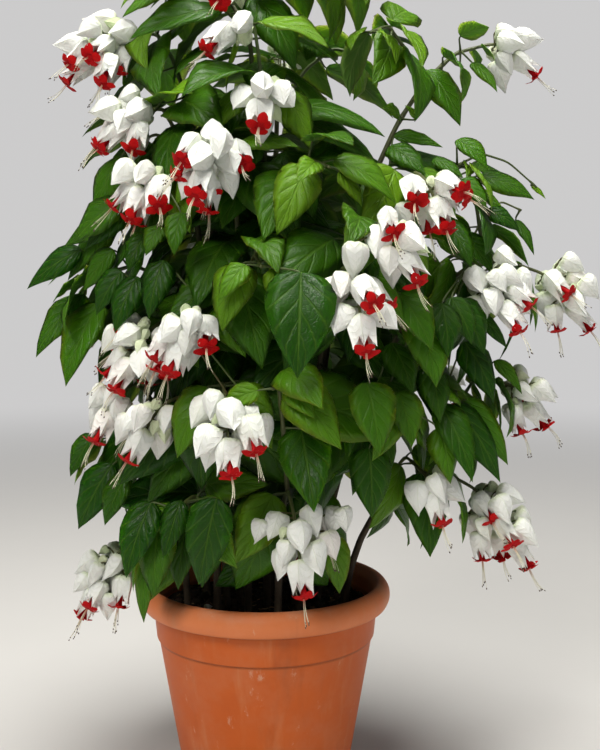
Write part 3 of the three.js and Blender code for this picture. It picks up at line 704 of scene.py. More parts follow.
def hang_leaves():
    """Each hung leaf joins the nearest stem, and moves in or out along its own face until it is
    clear."""
    for k, (name, which, t, end) in enumerate(TWIGS):
        root = canes[name][which].point(t)
        canes[name].append(Stem(root, np.array(end, float), TWIG, 7000 + k))
    stems = [stem for row in canes.values() for stem in row]
    shares = np.linspace(0.12, 0.98, 44)
    courses = np.array([stem.point(shares) for stem in stems])
    for k, (*ends, width, age) in enumerate(HUNG_LEAVES):
        ends = np.array(ends, float).reshape(2, 3)
        face = unit(0.45 * outward(ends[0]) + np.array([0, -1, 0.4]))
        which, step = divmod(int(np.linalg.norm(courses - ends[0], axis=-1).argmin()), 44)
        stem, t = stems[which], shares[step]
        for push in (0, 5, -5, 10, -10, 16, -16, 24):
            leaf = hung_leaf(stem, t, *(ends + push * face), width, age, 9000 + k, face)
            if room.is_free(*coarse_blade(leaf, 1.2)):
                break
        settle(leaf)
        stem.leaves.append(leaf)
        stem.joints.append(t)


def is_thinned(x, y, z, chance):
    """Whether a pair is left out high up inside the crown, so that light comes through. On the
    right, and behind the front, more of them are."""
    right, behind = x > 20, y > -20
    share = 0.70 if right and behind else 0.40 if right or behind else 0.20
    return z > THIN_ABOVE and math.hypot(x, y) < 150 and chance < share


def add_leaves(stem):
    """Leaves between and below the frame's pairs: crosswise pairs down the whole stem, and a
    small pair at a tip that bears no flowers. Each takes the first turn that is free."""
    rows = [] if stem.spray else [(3.0, 0.05, 40)]
    distance, k = 40.0, 0
    while 1 - distance / stem.length > (0.1 if stem.kind is CANE else 0.16):
        rows.append((distance, min(0.5 + 0.25 * k, 1), 66 + 10 * min(k, 2)))
        distance += 23 if distance > 105 else LEAF["pair_spacing"]
        k += 1
    for k, (distance, age, length) in enumerate(rows):
        t = 1 - distance / stem.length
        x, y, z = stem.point(t)
        if z < SOIL["level"] + 62 or (stem.leaf_size < SMALL_LEAVED and t > 0.55):
            continue
        if is_thinned(x, y, z, draw(stem.seed, k + 190)):
            continue
        degrees = (75 if k % 2 else 12) + 40 * (draw(stem.seed, k + 160) - 0.5)
        for sign in (1, -1):
            seed = stem.seed * 13 + k * 2 + 500 + (sign > 0)
            ways = (
                leaf_at(stem, t, seed, sign, degrees, age, turn, length * shrink)
                for shrink in (1.0, 0.78) for turn in EXTRA_TURNS
            )
            leaf = next((w for w in ways if room.is_free(*coarse_blade(w, 1.2))), None)
            if leaf and hangs_clear(leaf):
                room.add(*coarse_blade(leaf))
                stem.leaves.append(leaf)
                stem.joints.append(t)


# ---- growing the plan

canes, sprays = {}, {}
for number, (name, azimuth, radius, arch, *ends) in enumerate(CANES, 1):
    ends = [end + (0, 0, 1)[len(end) - 3:] for end in ends]
    canes[name] = stems_of(number, azimuth, radius, arch, ends)
    for k, (stem, end) in enumerate(zip(canes[name], ends), 1):
        if end[3]:
            stem.spray = sprays[f"{name}_{k}"] = Spray(stem, end[3], end[4])
            stem.spray.flowers = flowers_of(f"spray_{name}_{k}", stem.spray)
            for flower in stem.spray.flowers:
                room.add(*coarse_flower(flower))
    for stem in canes[name]:
        stem.leaves = leaves_of("cane_" + name, stem)
        for leaf in stem.leaves:
            settle(leaf)
hang_flowers()
for key, spray in sprays.items():
    more_flowers(key, spray)
hang_leaves()
for stems in canes.values():
    for stem in stems:
        if stem.kind is not TWIG:
            add_leaves(stem)

# ---- node groups and finishes


class Finish:
    """Nodes of a material, a world or a group, wired by name."""

    def __init__(self, tree):
        self.tree = tree

    def node(self, kind, settings=(), **inputs):
        """The outputs of a node with its settings, and its inputs given as values or as other
        sockets. An underscore in an input's name stands for a space, and one in front of it for
        its number."""
        made = self.tree.nodes.new("ShaderNode" + kind)
        for key, value in dict(settings).items():
            setattr(made, key, value)
        for key, value in inputs.items():
            socket = made.inputs[int(key[1:]) if key[0] == "_" else key.replace("_", " ")]
            if isinstance(value, bpy.types.NodeSocket):
                self.tree.links.new(value, socket)
            else:
                socket.default_value = (*value, 1.0) if socket.type == "RGBA" else value
        return made.outputs

    def math(self, operation, a, b=0.0, c=0.0):
        return self.node("Math", {"operation": operation}, _0=a, _1=b, _2=c)[0]

    def mul(self, a, b, plus=0.0):
        """a times b, plus something."""
        return self.math("MULTIPLY_ADD", a, b, plus)

    def ramp(self, factor, low, high, start=0.0, end=1.0):
        """factor from low to high, taken smoothly to start and end."""
        return self.node(
            "MapRange", {"interpolation_type": "SMOOTHSTEP"},
            Value=factor, From_Min=low, From_Max=high, To_Min=start, To_Max=end,
        )[0]

    def mix(self, factor, a, b):
        """Colour a turning into colour b with the factor."""
        return self.node("Mix", {"data_type": "RGBA"}, _0=factor, _6=a, _7=b)[2]

    def xyz(self, vector):
        return self.node("SeparateXYZ", Vector=vector)

    def noise(self, scale, detail=3.0, roughness=0.55, stretch=None, vector=None):
        vector = self.place if vector is None else vector
        if stretch:
            vector = self.node("Mapping", Vector=vector, Scale=stretch)[0]
        inputs = {"Vector": vector, "Scale": scale, "Detail": detail, "Roughness": roughness}
        return self.node("TexNoise", **inputs)[0]


def emptied(block):
    """The node tree of a material or a world, to be wired afresh."""
    block.use_nodes = True
    block.node_tree.nodes.clear()
    return Finish(block.node_tree)


def group(*inputs):
    """Makes a shader group of the function below it, which returns the outputs by name. The first
    input is a vector, and the others are numbers. What it makes places the group in a material
    and returns its outputs there."""

    def make(wire):
        tree = bpy.data.node_groups.new(wire.__name__, "ShaderNodeTree")
        for k, key in enumerate(inputs):
            kind = "NodeSocketFloat" if k else "NodeSocketVector"
            tree.interface.new_socket(name=key, in_out="INPUT", socket_type=kind)
        f = Finish(tree)
        source = tree.nodes.new("NodeGroupInput").outputs
        f.place = source[0]
        wired = wire(f, source)
        for key in wired:
            tree.interface.new_socket(name=key, in_out="OUTPUT", socket_type="NodeSocketFloat")
        sink = tree.nodes.new("NodeGroupOutput")
        for key, value in wired.items():
            tree.links.new(value, sink.inputs[key])
        return lambda f, *values: f.node(
            "Group", {"node_tree": tree}, **{f"_{k}": value for k, value in enumerate(values)}
        )

    return make


def material(strength, distance, **plain):
    """Makes a material of the function below it, which returns the colour, the relief's height
    and, where it varies, the roughness. strength and distance are the relief's, and plain are
    values on the shader's own sockets."""

    def make(wire):
        made = bpy.data.materials.new(wire.__name__)
        f = emptied(made)
        coordinates = f.node("TexCoord")
        f.place, f.uv = coordinates["Object"], coordinates["UV"]
        f.tone, f.age = (
            f.node("Attribute", {"attribute_name": key})["Fac"] for key in ("tone", "age")
        )
        colour, relief, *rough = wire(f)
        normal = f.node("Bump", Strength=strength, Distance=distance, Height=relief)[0]
        plain.update({"Roughness": socket for socket in rough})
        shader = f.node("BsdfPrincipled", Base_Color=colour, Normal=normal, **plain)[0]
        f.node("OutputMaterial", Surface=shader)
        return made

    return make


@group("Vector", "Scale", "Contrast")
def mottle(f, i):
    """Patches: broad noise and fine noise added and spread about their middle."""
    broad = f.noise(i["Scale"], 4.0, 0.6)
    fine = f.noise(f.mul(i["Scale"], 6.3), 3.0, 0.6)
    both = f.mul(broad, 0.7, f.mul(fine, 0.3))
    spread = f.mul(f.math("SUBTRACT", both, 0.5), i["Contrast"], 0.5)
    return {"Patches": f.node("Clamp", Value=spread)[0], "Grain": fine}


@group("Vector", "Scale", "Slope", "Amount")
def dust(f, i):
    """Dust: where the surface faces up, and in patches."""
    up = f.ramp(f.xyz(f.node("NewGeometry")["Normal"])["Z"], i["Slope"], 1.0)
    patches = f.ramp(f.noise(i["Scale"], 5.0, 0.65), 0.42, 0.68)
    return {"Dust": f.mul(f.mul(f.mul(up, 0.8, 0.2), patches), i["Amount"])}


@group("UV", "Count", "Lean", "Midrib")
def veins(f, i):
    """Veins from a blade's own map: U runs from its base to its tip and V across it, with the
    midrib at 0.5. Side veins leave the midrib and curve towards the tip."""
    u, v, _ = f.xyz(i["UV"])
    offset = f.math("SUBTRACT", v, 0.5)
    width = f.mul(f.math("ABSOLUTE", offset), 2.0)
    midrib = f.ramp(width, 0.02, i["Midrib"], 1.0, 0.0)
    phase = f.math("SUBTRACT", u, f.mul(f.math("POWER", width, 0.75), i["Lean"]))
    shifted = f.mul(f.math("SIGN", offset), 0.035, phase)
    wave = f.math("PINGPONG", f.mul(shifted, i["Count"]), 0.5)
    side = f.mul(f.ramp(wave, 0.0, 0.13, 1.0, 0.0), f.ramp(width, 0.72, 1.0, 1.0, 0.15))
    quilt = f.mul(f.ramp(wave, 0.0, 0.5), f.ramp(width, 0.0, 0.35))
    lines = f.math("MAXIMUM", midrib, f.mul(side, 0.75))
    return {"Veins": lines, "Height": f.math("SUBTRACT", f.mul(quilt, 0.6), lines)}


GLOW = {"Subsurface_Weight": 0.3, "Subsurface_Radius": (0.7, 1.0, 0.25), "Subsurface_Scale": 0.003}


@material(0.62, 0.0012, Specular_IOR_Level=0.17, **GLOW)
def leaf_face(f):
    patches, grain = mottle(f, f.place, 22.0, 2.6)
    lines, height = veins(f, f.uv, 5.0, 0.40, 0.075)
    # the tone mixes each leaf's random draw with painted light, lighter high and on the left, and
    # painted shade towards the crown's inside
    old = f.mix(f.tone, (0.006, 0.040, 0.001), (0.040, 0.142, 0.004))
    young = f.mix(f.tone, (0.060, 0.172, 0.005), (0.145, 0.290, 0.010))
    green = f.mix(f.ramp(f.age, 0.05, 0.80), young, old)
    green = f.mix(f.mul(patches, f.mul(f.tone, 0.40, 0.14)), green, (0.060, 0.150, 0.005))
    green = f.mix(f.mul(lines, 0.26), green, (0.110, 0.220, 0.018))
    net = f.node("TexVoronoi", {"feature": "DISTANCE_TO_EDGE"}, Vector=f.place, Scale=280.0)[0]
    relief = f.mul(grain, 0.45, f.mul(f.ramp(net, 0.0, 0.14), 0.20, height))
    return green, relief, f.mul(lines, 0.12, f.mul(patches, 0.20, 0.25))


@material(0.5, 0.001, Roughness=0.65, Specular_IOR_Level=0.12, **GLOW)
def leaf_back(f):
    patches, grain = mottle(f, f.place, 30.0, 2.0)
    lines, height = veins(f, f.uv, 5.0, 0.40, 0.075)
    green = f.mix(f.tone, (0.045, 0.115, 0.018), (0.095, 0.200, 0.030))
    green = f.mix(f.mul(patches, 0.3), green, (0.12, 0.22, 0.04))
    green = f.mix(f.mul(lines, 0.5), green, (0.16, 0.26, 0.06))
    return green, f.math("SUBTRACT", f.mul(grain, 0.3), height)


@material(0.5, 0.0008)
def stem_skin(f):
    patches, grain = mottle(f, f.place, 60.0, 2.4)
    # bark low on the canes: its own brown, painted darker still as painted shade under the crown
    bark = f.mix(patches, (0.024, 0.016, 0.008), (0.070, 0.048, 0.026))
    fresh = f.mix(f.tone, (0.045, 0.090, 0.018), (0.075, 0.075, 0.020))
    relief = f.mul(f.noise(700.0, stretch=(1, 1, 0.15)), 0.6, f.mul(grain, 0.5))
    return f.mix(f.ramp(f.age, 0.25, 0.8), bark, fresh), relief, f.ramp(f.age, 0.2, 0.9, 0.82, 0.5)


@material(
    0.6, 0.0012, Roughness=0.6, Specular_IOR_Level=0.3, Subsurface_Weight=0.4,
    Subsurface_Scale=0.004, Subsurface_Radius=(1.0, 0.96, 0.9),
)
def calyx_paper(f):
    patches, grain = mottle(f, f.place, 90.0, 1.6)
    lines, height = veins(f, f.uv, 5.0, 0.22, 0.16)
    white = f.mix(patches, (0.80, 0.82, 0.78), (0.86, 0.872, 0.84))
    white = f.mix(f.ramp(f.tone, 0.86, 1.0, 0.0, 0.22), white, (0.80, 0.60, 0.58))
    green = f.mix(f.tone, (0.50, 0.64, 0.26), (0.66, 0.74, 0.42))
    young, root = f.ramp(f.age, 0.0, 0.6, 0.75, 0.0), f.ramp(f.xyz(f.uv)["X"], 0.0, 0.22, 0.55, 0.0)
    white = f.mix(f.math("MAXIMUM", young, root), white, green)
    white = f.mix(f.mul(lines, 0.16), white, (0.60, 0.70, 0.42))
    folds = f.noise(1.0, 3.0, 0.6, (2.5, 9.0, 1.0), f.uv)
    return white, f.mul(folds, 1.3, f.mul(grain, 0.4, f.mul(height, -0.5)))


@material(0.5, 0.0006, Roughness=0.55, Specular_IOR_Level=0.08)
def corolla_velvet(f):
    patches, grain = mottle(f, f.place, 120.0, 2.0)
    _, height = veins(f, f.uv, 3.0, 0.5, 0.12)
    red = f.mix(f.tone, (0.42, 0.002, 0.004), (0.60, 0.006, 0.006))
    red = f.mix(f.mul(patches, 0.35), red, (0.30, 0.002, 0.006))
    red = f.mix(f.ramp(f.xyz(f.uv)["X"], 0.0, 0.35, 0.6, 0.0), red, (0.20, 0.002, 0.005))
    return red, f.mul(grain, 0.6, f.mul(height, 0.5))


@material(0.3, 0.0003, Roughness=0.5)
def stamen_thread(f):
    u = f.xyz(f.uv)["X"]
    cream = f.mix(f.ramp(u, 0.1, 0.5), (0.60, 0.26, 0.18), (0.68, 0.66, 0.48))
    grain = mottle(f, f.place, 300.0, 2.0)["Grain"]
    return f.mix(f.ramp(u, 1.2, 1.4), cream, (0.060, 0.040, 0.022)), grain


@material(0.4, 0.0005, Roughness=0.55)
def stalk_skin(f):
    patches, grain = mottle(f, f.place, 110.0, 2.0)
    colour = f.mix(f.tone, (0.070, 0.110, 0.025), (0.085, 0.050, 0.022))
    return f.mix(f.mul(patches, 0.5), colour, (0.12, 0.17, 0.05)), grain


@material(0.16, 0.0007, Specular_IOR_Level=0.18)
def pot_plastic(f):
    patches, grain = mottle(f, f.place, 9.0, 2.0)
    high = f.xyz(f.place)["Z"]
    clay = f.mix(patches, (0.525, 0.098, 0.015), (0.600, 0.124, 0.020))
    lip = f.mix(patches, (0.620, 0.175, 0.058), (0.700, 0.215, 0.080))
    colour = f.mix(f.ramp(high, 0.189, 0.193), clay, lip)
    streaks = f.noise(42.0, 5.0, 0.62, (1, 1, 0.10))
    colour = f.mix(f.ramp(streaks, 0.52, 0.74, 0.0, 0.34), colour, (0.60, 0.26, 0.12))
    dark = f.noise(25.0, 4.0, 0.6, (1, 1, 0.22))
    colour = f.mix(f.ramp(dark, 0.54, 0.78, 0.0, 0.45), colour, (0.23, 0.060, 0.022))
    scuffs = f.ramp(f.noise(62.0, 6.0, 0.7, (1, 1, 0.5)), 0.62, 0.72)
    colour = f.mix(f.mul(scuffs, 0.55), colour, (0.66, 0.42, 0.29))
    film = dust(f, f.place, 26.0, 0.1, 0.44)[0]
    colour = f.mix(film, colour, (0.58, 0.36, 0.24))
    for ledge, reach in ((0.1610, 0.0026), (0.1905, 0.0036)):
        near = f.math("ABSOLUTE", f.math("SUBTRACT", high, ledge))
        shade = f.ramp(near, 0.2 * reach, reach, 0.50, 0.0)
        colour = f.mix(shade, colour, (0.18, 0.048, 0.016))
    low = f.ramp(high, 0.0, 0.045, 0.30, 0.0)
    colour = f.mix(f.mul(low, patches), colour, (0.38, 0.26, 0.18))
    relief = f.mul(f.noise(120.0, 2.0, 0.5, (1, 1, 9)), 0.35, grain)
    gloss = f.mul(film, 0.25, f.mul(scuffs, 0.12, f.mul(patches, 0.14, 0.40)))
    return colour, relief, gloss


@material(0.8, 0.0016, Roughness=0.95, Specular_IOR_Level=0.2)
def soil_crumb(f):
    patches, grain = mottle(f, f.place, 55.0, 2.6)
    # the soil's own dark brown, painted darker still as painted shade under the crown
    brown_and_painted_shade = f.mix(patches, (0.007, 0.005, 0.0035), (0.024, 0.016, 0.010))
    brown_and_painted_shade = f.mix(f.ramp(f.tone, 0.55, 1.0, 0.0, 0.8), brown_and_painted_shade, (0.085, 0.055, 0.034))
    brown_and_painted_shade = f.mix(dust(f, f.place, 90.0, 0.3, 0.10)[0], brown_and_painted_shade, (0.16, 0.12, 0.09))
    return brown_and_painted_shade, f.math("ADD", grain, f.noise(520.0, 5.0, 0.7))


@material(0.6, 0.001, Roughness=0.85)
def dry_litter(f):
    patches, grain = mottle(f, f.place, 130.0, 2.2)
    dry = f.mix(f.tone, (0.10, 0.055, 0.025), (0.28, 0.17, 0.08))
    return f.mix(f.mul(patches, 0.6), dry, (0.05, 0.03, 0.015)), grain


# ---- leafy canes

RING = np.array([1, 0.55, 0, -0.55, -1, -0.55, 0, 0.55])  # across a blade, above and then below
SHARES = np.array([0.018, 0.07, 0.16, 0.28, 0.42, 0.57, 0.71, 0.84, 0.94])


def underside(faces, m):
    """Which faces lie in the second half of a skin of m points a ring: a blade's underside."""
    return np.tile(np.arange(m) >= m // 2, len(faces) // m)


def split_alike(quads, m):
    """Starts the underside's quads one corner on, so that they split into triangles along the
    same diagonals as the quads above them, and the two sides of a thin blade never cross."""
    return np.where(underside(quads, m)[:, None], np.roll(quads, -1, axis=1), quads)


def blade_map(along, w, n):
    """The map of n skins: U along each, V across it with the midrib at 0.5, then the poles."""
    one = np.stack(np.broadcast_arrays(along[:, None], 0.5 + 0.5 * w), -1).reshape(-1, 2)
    return np.tile(np.concatenate([one, [[0, 0.5], [1, 0.5]]]), (n, 1))


def blades(heap, leaves):
    """Leaf blades: each is a flat closed tube along its arched midrib, eight points a ring. The
    underside lies 0.4 mm below, and its midrib stands out as a rib that thins towards the tip.
    Tones are draws raised to a power that falls with height and towards the left, a painted
    light where most light comes from, and they sink towards the crown's inside, a painted shade
    where the leaves lie in shadow."""
    rings, up, r = leaf_surface(leaves, SHARES, RING)
    rib = np.where(RING == 0, 0.9 - 0.5 * SHARES[:, None], 0.4)
    rings[:, :, 5:] -= rib[:, 5:, None] * up[:, :, None]
    ends = blade_lines(leaves, np.array([0.0, 1.0]))[0]
    points, (quads, fans) = loft(rings, ends[:, 0], ends[:, 1])
    base, age = columns(leaves, "base", "age")
    # painted light: tones rise with height and towards the left, where most light comes from
    lit = np.maximum(smooth(base[:, 2], 490, 690), 0.5 * smooth(-base[:, 0], 80, 170))
    radius, half = CROWN["radius"], CROWN["half_height"]
    # painted shade: tones sink towards the crown's inside, where the leaves lie in shadow
    painted_shade_depth = np.linalg.norm((base - (0, 0, CROWN["centre"])) / (radius, radius, half), axis=1)
    tone = (0.18 + 0.82 * smooth(painted_shade_depth, 0.45, 0.90)) * r[:, 6] ** (2.2 - 1.8 * lit)
    under = [underside(quads, len(RING)), underside(fans, len(RING))]
    quads = split_alike(quads, len(RING))
    uv = blade_map(SHARES, RING, len(leaves))
    heap.add(points, [quads, fans], under, uv, tone, age * (0.72 + 0.45 * r[:, 7]))


def petioles(heap, leaves):
    """Leaf stalks: thin tubes that leave the stem squarely and turn into the blade."""
    root, base, heading, out, up = columns(leaves, "root", "base", "heading", "out", "normal")
    reach = np.linalg.norm(base - root, axis=1)[:, None]
    into = base + 2.0 * heading - 0.5 * up
    path = bezier([root, root + 0.55 * reach * out, base - 3 * heading, into], 6)
    heap.add(*tubes(path, [1.35, 1.05, 0.95, 0.9, 0.85, 0.5], UP + 0.01, 5), 2, tone=0.4, age=0.85)


def stem_skins(heap, stem):
    """A stem: a tube with four low corners along the eased course, thinning evenly from its root
    to its tip and swelling by 0.55 mm at each pair of leaves."""
    path = stem.eased(7)
    t = np.linspace(0, 1, len(path))
    radius = stem.radius(t) * FINE_CANE
    for joint in set(stem.joints):
        radius = radius + 0.55 * np.exp(-(((t - joint) * stem.length / 3.0) ** 2))
    if stem.kind is CANE:
        foot = path[0].copy()
        foot[2] = SOIL["level"] - CANE["bury"]
        path = np.concatenate([[foot, 0.5 * (foot + path[0])], path])
        radius = np.concatenate([[radius[0]] * 2, radius])
        t = np.concatenate([[0, 0], t])
    share = np.concatenate([np.repeat(t, 8), [0, 1]])
    age = share if stem.kind is CANE else 0.55 + 0.45 * share
    skin = tubes(path[None], radius, stem.side, 8, 0.07)
    heap.add(*skin, 2, tone=draw(stem.seed, 300), age=age)


for name, stems in canes.items():
    heap = Heap()
    leaves = [leaf for stem in stems for leaf in stem.leaves]
    blades(heap, leaves)
    petioles(heap, leaves)
    for stem in stems:
        stem_skins(heap, stem)
    finishes = [leaf_face, leaf_back, stem_skin]
    heap.piece("leafy_cane_" + name, finishes, "foliage", ["cane_" + name])

# ---- flower sprays

# A calyx's nine rings from the stalk on, for a shut calyx and for an open one: how wide, how far
# out its valleys stand beside its keels, and how far along it the keels and the valleys are.
CALYX_RINGS = np.array([
    [
        [0.12, 0.50, 0.86, 1.04, 1.04, 0.89, 0.62, 0.28, 0.045],
        [1.0, 0.97, 0.96, 0.94, 0.92, 0.90, 0.86, 0.82, 0.95],
        [0.06, -0.015, 0.03, 0.16, 0.33, 0.51, 0.69, 0.86, 0.98],
        [0.06, 0.01, 0.05, 0.17, 0.33, 0.50, 0.67, 0.84, 0.97],
    ],
    [
        [0.12, 0.50, 0.86, 1.04, 1.06, 0.99, 0.91, 0.88, 0.38],
        [1.0, 0.97, 0.96, 0.94, 0.92, 0.88, 0.74, 0.56, 0.95],
        [0.06, -0.015, 0.03, 0.16, 0.34, 0.55, 0.79, 1.05, 0.64],
        [0.06, 0.01, 0.05, 0.17, 0.33, 0.49, 0.61, 0.67, 0.60],
    ],
])
CALYX_POLES = np.array([1.01, 0.55])


def flower_axes(flowers):
    base, axis, side = columns(flowers, "base", "axis", "side")
    u = across(side, unit(axis))
    return base, unit(axis), u, np.cross(unit(axis), u)


def drawn(flowers, offset, shape, *more):
    """Repeatable draws from 0 to 1, of a shape for each flower."""
    seeds = [int(f["seed"]) + offset for f in flowers] + list(more)
    return np.random.default_rng(seeds).random((len(flowers), *shape))


def calyces(heap, flowers):
    """White lanterns with five sharp keels: ten points a ring, on the keels and in the hollows
    between them. Widths along the length follow a heart's outline, with shoulders that rise
    round the stalk. A shut one is drawn out to a point. On an open one the five tips part and
    flare round a mouth: the hollows stop short, and the last ring and the pole lie inside. Each
    is pressed flatter one way, and turns by its twist x its length's share."""
    base, axis, u, v = flower_axes(flowers)
    r = drawn(flowers, 7000, (8,))
    size = columns(flowers, "size")[0][:, None, None]
    length = CALYX["length"] * size
    opened = [int(f["open"]) for f in flowers]
    widths, valleys, keels, dips = np.moveaxis(CALYX_RINGS[opened], 1, 0)[..., None]

    def uneven(share, shape, seed):
        return 1 + share * (drawn(flowers, 7000, shape, seed) - 0.5)

    keel = (np.arange(10) % 2 == 0).astype(float)
    radius = FINE_CALYX * CALYX["radius"] * size * widths * (valleys * (1 - keel) + keel)
    radius = radius * (uneven(0.04, (9, 10), 1) * uneven(0.15, (1, 10), 3))
    reach = (dips * (1 - keel) + keels * keel) * uneven(0.16, (1, 10), 2)
    a = circle(10) + (r[:, 4:5, None] - 0.5) * 0.7 * reach
    press = 0.76 + 0.22 * r[:, 5:6, None]
    lean = (r[:, :2] - 0.5) * 0.24
    bow = length * reach**2
    rings = (
        base[:, None, None] + (length * reach)[..., None] * axis[:, None, None]
        + (radius * np.cos(a) + bow * lean[:, :1, None])[..., None] * u[:, None, None]
        + (radius * press * np.sin(a) + bow * lean[:, 1:, None])[..., None] * v[:, None, None]
    )
    far, share = length[:, 0], CALYX_POLES[opened][:, None]
    start = base + 0.07 * far * axis
    end = base + far * share * axis + far * share**2 * (lean[:, :1] * u + lean[:, 1:] * v)
    age = np.where([f.get("bud", 0) for f in flowers], 0.1, 0.45 + 0.9 * r[:, 2])
    uv = blade_map(CALYX_RINGS[0, 2], 1 - keel, len(flowers))
    heap.add(*loft(rings, start, end), 0, uv, r[:, 3], age)


def corollas(heap, flowers):
    """Crimson corollas: a tube that widens beyond the calyx's mouth, and five lobes that stand
    between its tips. A lobe is a flat closed blade of four points a ring, widest beyond its
    middle. It spreads from the tube and arches back: fall = back x reach x s^2."""
    n = len(flowers)
    base, axis, u, v = flower_axes(flowers)
    r = drawn(flowers, 8000, (5, 6))
    calyx = columns(flowers, "size")[0][:, None]
    size, length = 0.6 + 0.4 * calyx, CALYX["length"] * calyx
    shares = np.array([0.60, 0.77, 0.94, COROLLA["mouth"]])
    path = base[:, None] + (length * shares)[..., None] * axis[:, None]
    radii = size * np.array([2.2, 2.4, 2.7, 0.8 * COROLLA["tube"]])
    heap.add(*tubes(path, radii, u, 8), 1, (0.1, 0.5), r[:, 0, 0])

    s = np.array([0.0, 0.14, 0.32, 0.54, 0.76, 0.92])
    shape = np.array([0.50, 0.70, 0.92, 1.0, 0.82, 0.46])
    w = np.array([1.0, 0.0, -1.0, 0.0])
    a = circle(5) + math.pi / 5 + 0.40 * (r[..., 1] - 0.5)
    out = around(a, u[:, None], v[:, None])
    side = np.cross(axis[:, None], out)
    reach = (FINE_LOBE * COROLLA["lobe"] * size * (0.86 + 0.28 * r[..., 2]))[..., None]
    back = (0.75 * r[..., 3] - 0.12)[..., None]
    root = 0.45 * COROLLA["tube"]
    radial = root + (reach - root) * s * (1 - 0.16 * back * s)
    rise = 0.12 * reach * np.sin(math.pi * np.minimum(s * 1.2, 1)) - back * reach * s**2 * 0.5
    middle = (
        (base + length * COROLLA["mouth"] * axis)[:, None, None]
        + radial[..., None] * out[:, :, None] + (rise - 0.2)[..., None] * axis[:, None, None]
    )
    half = (COROLLA["half"] * size * (0.9 + 0.25 * r[..., 4]))[..., None] * shape
    curl = (0.35 * r[..., 5] - 0.05)[..., None, None] * half[..., None] * w**2
    lift = np.array([0.0, 0.25, 0.0, -0.25]) - curl
    rings = (
        middle[..., None, :] + (half[..., None] * w)[..., None] * side[:, :, None, None]
        + lift[..., None] * axis[:, None, None, None]
    )
    flat = middle.reshape(n * 5, len(s), 3)
    end = flat[:, -1] + 0.7 * (flat[:, -1] - flat[:, -2])
    points, (quads, fans) = loft(rings.reshape(n * 5, len(s), 4, 3), flat[:, 0], end)
    uv = blade_map(s, w, n * 5)
    heap.add(points, [split_alike(quads, 4), fans], 1, uv, r[..., 5].ravel())


def stamens(heap, flowers):
    """Four stamens and the style: threads of three sides that leave the corolla's mouth together
    and curve apart, with a dark anther of three short rings at the end of each."""
    base, axis, u, v = (x[:, None] for x in flower_axes(flowers))
    r = drawn(flowers, 9000, (5, 4))
    size = columns(flowers, "size")[0][:, None, None]
    eye = base + CALYX["length"] * size * COROLLA["eye"] * axis
    out = around(circle(5) + 1.2 * r[..., 0], u, v)
    one_way = around(6.3 * r[:, :1, 3], u, v)
    length = (STAMEN_LENGTH * (0.72 + 0.30 * r[..., 1]))[..., None]
    root = eye + 0.6 * out - 4 * axis
    bend = eye + 0.5 * length * axis + 0.03 * length * out + 0.16 * length * one_way
    tip = eye + length * (0.93 * axis + 0.085 * out + 0.02 * one_way) - 2.5 * r[..., 2:3] * UP
    path = bezier([knot.reshape(-1, 3) for knot in (root, bend, tip)], 6)
    side = out.reshape(-1, 3) + 0.01
    share = np.concatenate([np.repeat(np.linspace(0, 1, 6), 3), [0, 1]])
    uv = np.tile(np.stack([share, 0 * share], -1), (len(path), 1))
    heap.add(*tubes(path, [0.28, 0.25, 0.23, 0.21, 0.19, 0.17], side, 3), 2, uv)
    last = unit(path[:, -1] - path[:, -2])
    anther = path[:, -1][:, None] + np.array([-0.3, 0.4, 1.2])[:, None] * last[:, None]
    heap.add(*tubes(anther, [0.35, 0.6, 0.35], side, 4), 2, 1.5)


def stalks(heap, spray):
    """The rachis along its Bezier curve, from inside the stem's end, and a stalk that leaves it
    squarely and widens into each calyx."""
    stem = spray.stem
    path = bezier(spray.controls, 10)
    path = np.concatenate([path[:, :1] - 3.0 * stem.direction(1), path], axis=1)
    heap.add(*tubes(path, np.linspace(1.75, 1.15, path.shape[1]), stem.side, 6), 3, tone=0.5)
    hung = [f for f in spray.flowers if not f.get("on_rachis")]
    if not hung:
        return
    centre, base, axis = columns(hung, "centre", "base", "axis")
    path = bezier([centre, 0.45 * centre + 0.55 * base, base - 2.5 * axis, base + 0.6 * axis], 7)
    skin = tubes(path, [0.95, 0.85, 0.8, 0.8, 0.85, 1.05, 1.6], UP + 0.01, 5)
    heap.add(*skin, 3, tone=[draw(f["seed"], 31) for f in hung])


for key, spray in sprays.items():
    young_buds(spray)
    heap = Heap()
    calyces(heap, spray.flowers)
    opened = [f for f in spray.flowers if f["open"]]
    if opened:
        corollas(heap, opened)
        stamens(heap, opened)
    stalks(heap, spray)
    finishes = [calyx_paper, corolla_velvet, stamen_thread, stalk_skin]
    heap.piece("flower_spray_" + key, finishes, "flowers", ["spray_" + key], crease=44)

# ---- pot

# Corners of the pot's section, up its outside and down its inside: radius, height, rounding.
POT_CORNERS = [
    (0, 0, 0), (60, 0, 0), (79, 0, 2.5), (93, 80.5, 0), (107, 161, 0.8), (109, 162.3, 0.8),
    (112, 192, 1.0), (121, 191.6, 2.2), (125.1, 199, 4.5), (124.4, 208, 4.0),
    (118.6, 215.1, 4.0), (112.6, 214.9, 2.2), (108.2, 205, 3), (107.8, 192, 1), (92, 98, 0),
    (75.8, 4, 2), (60, 4, 0), (0, 4, 0),
]


def rounded(corners):
    """A profile whose corners are each replaced by a quadratic curve that starts and ends its
    rounding away from the corner."""
    c = np.array(corners, float)
    out = []
    for k, (*p, r) in enumerate(c):
        if r:
            a, b = (p + r * unit(c[n, :2] - p) for n in (k - 1, k + 1))
        out.append(bezier([[a], [p], [b]], 5)[0] if r else [p])
    return np.concatenate(out)


def turned(profile, sides):
    """A closed surface of revolution about Z, from the axis and back to the axis."""
    inner = profile[1:-1, :, None]
    rings = cylindrical(inner[:, 0], circle(sides), inner[:, 1])[None]
    return loft(rings, *np.array([[[0, 0, profile[k, 1]]] for k in (0, -1)]))


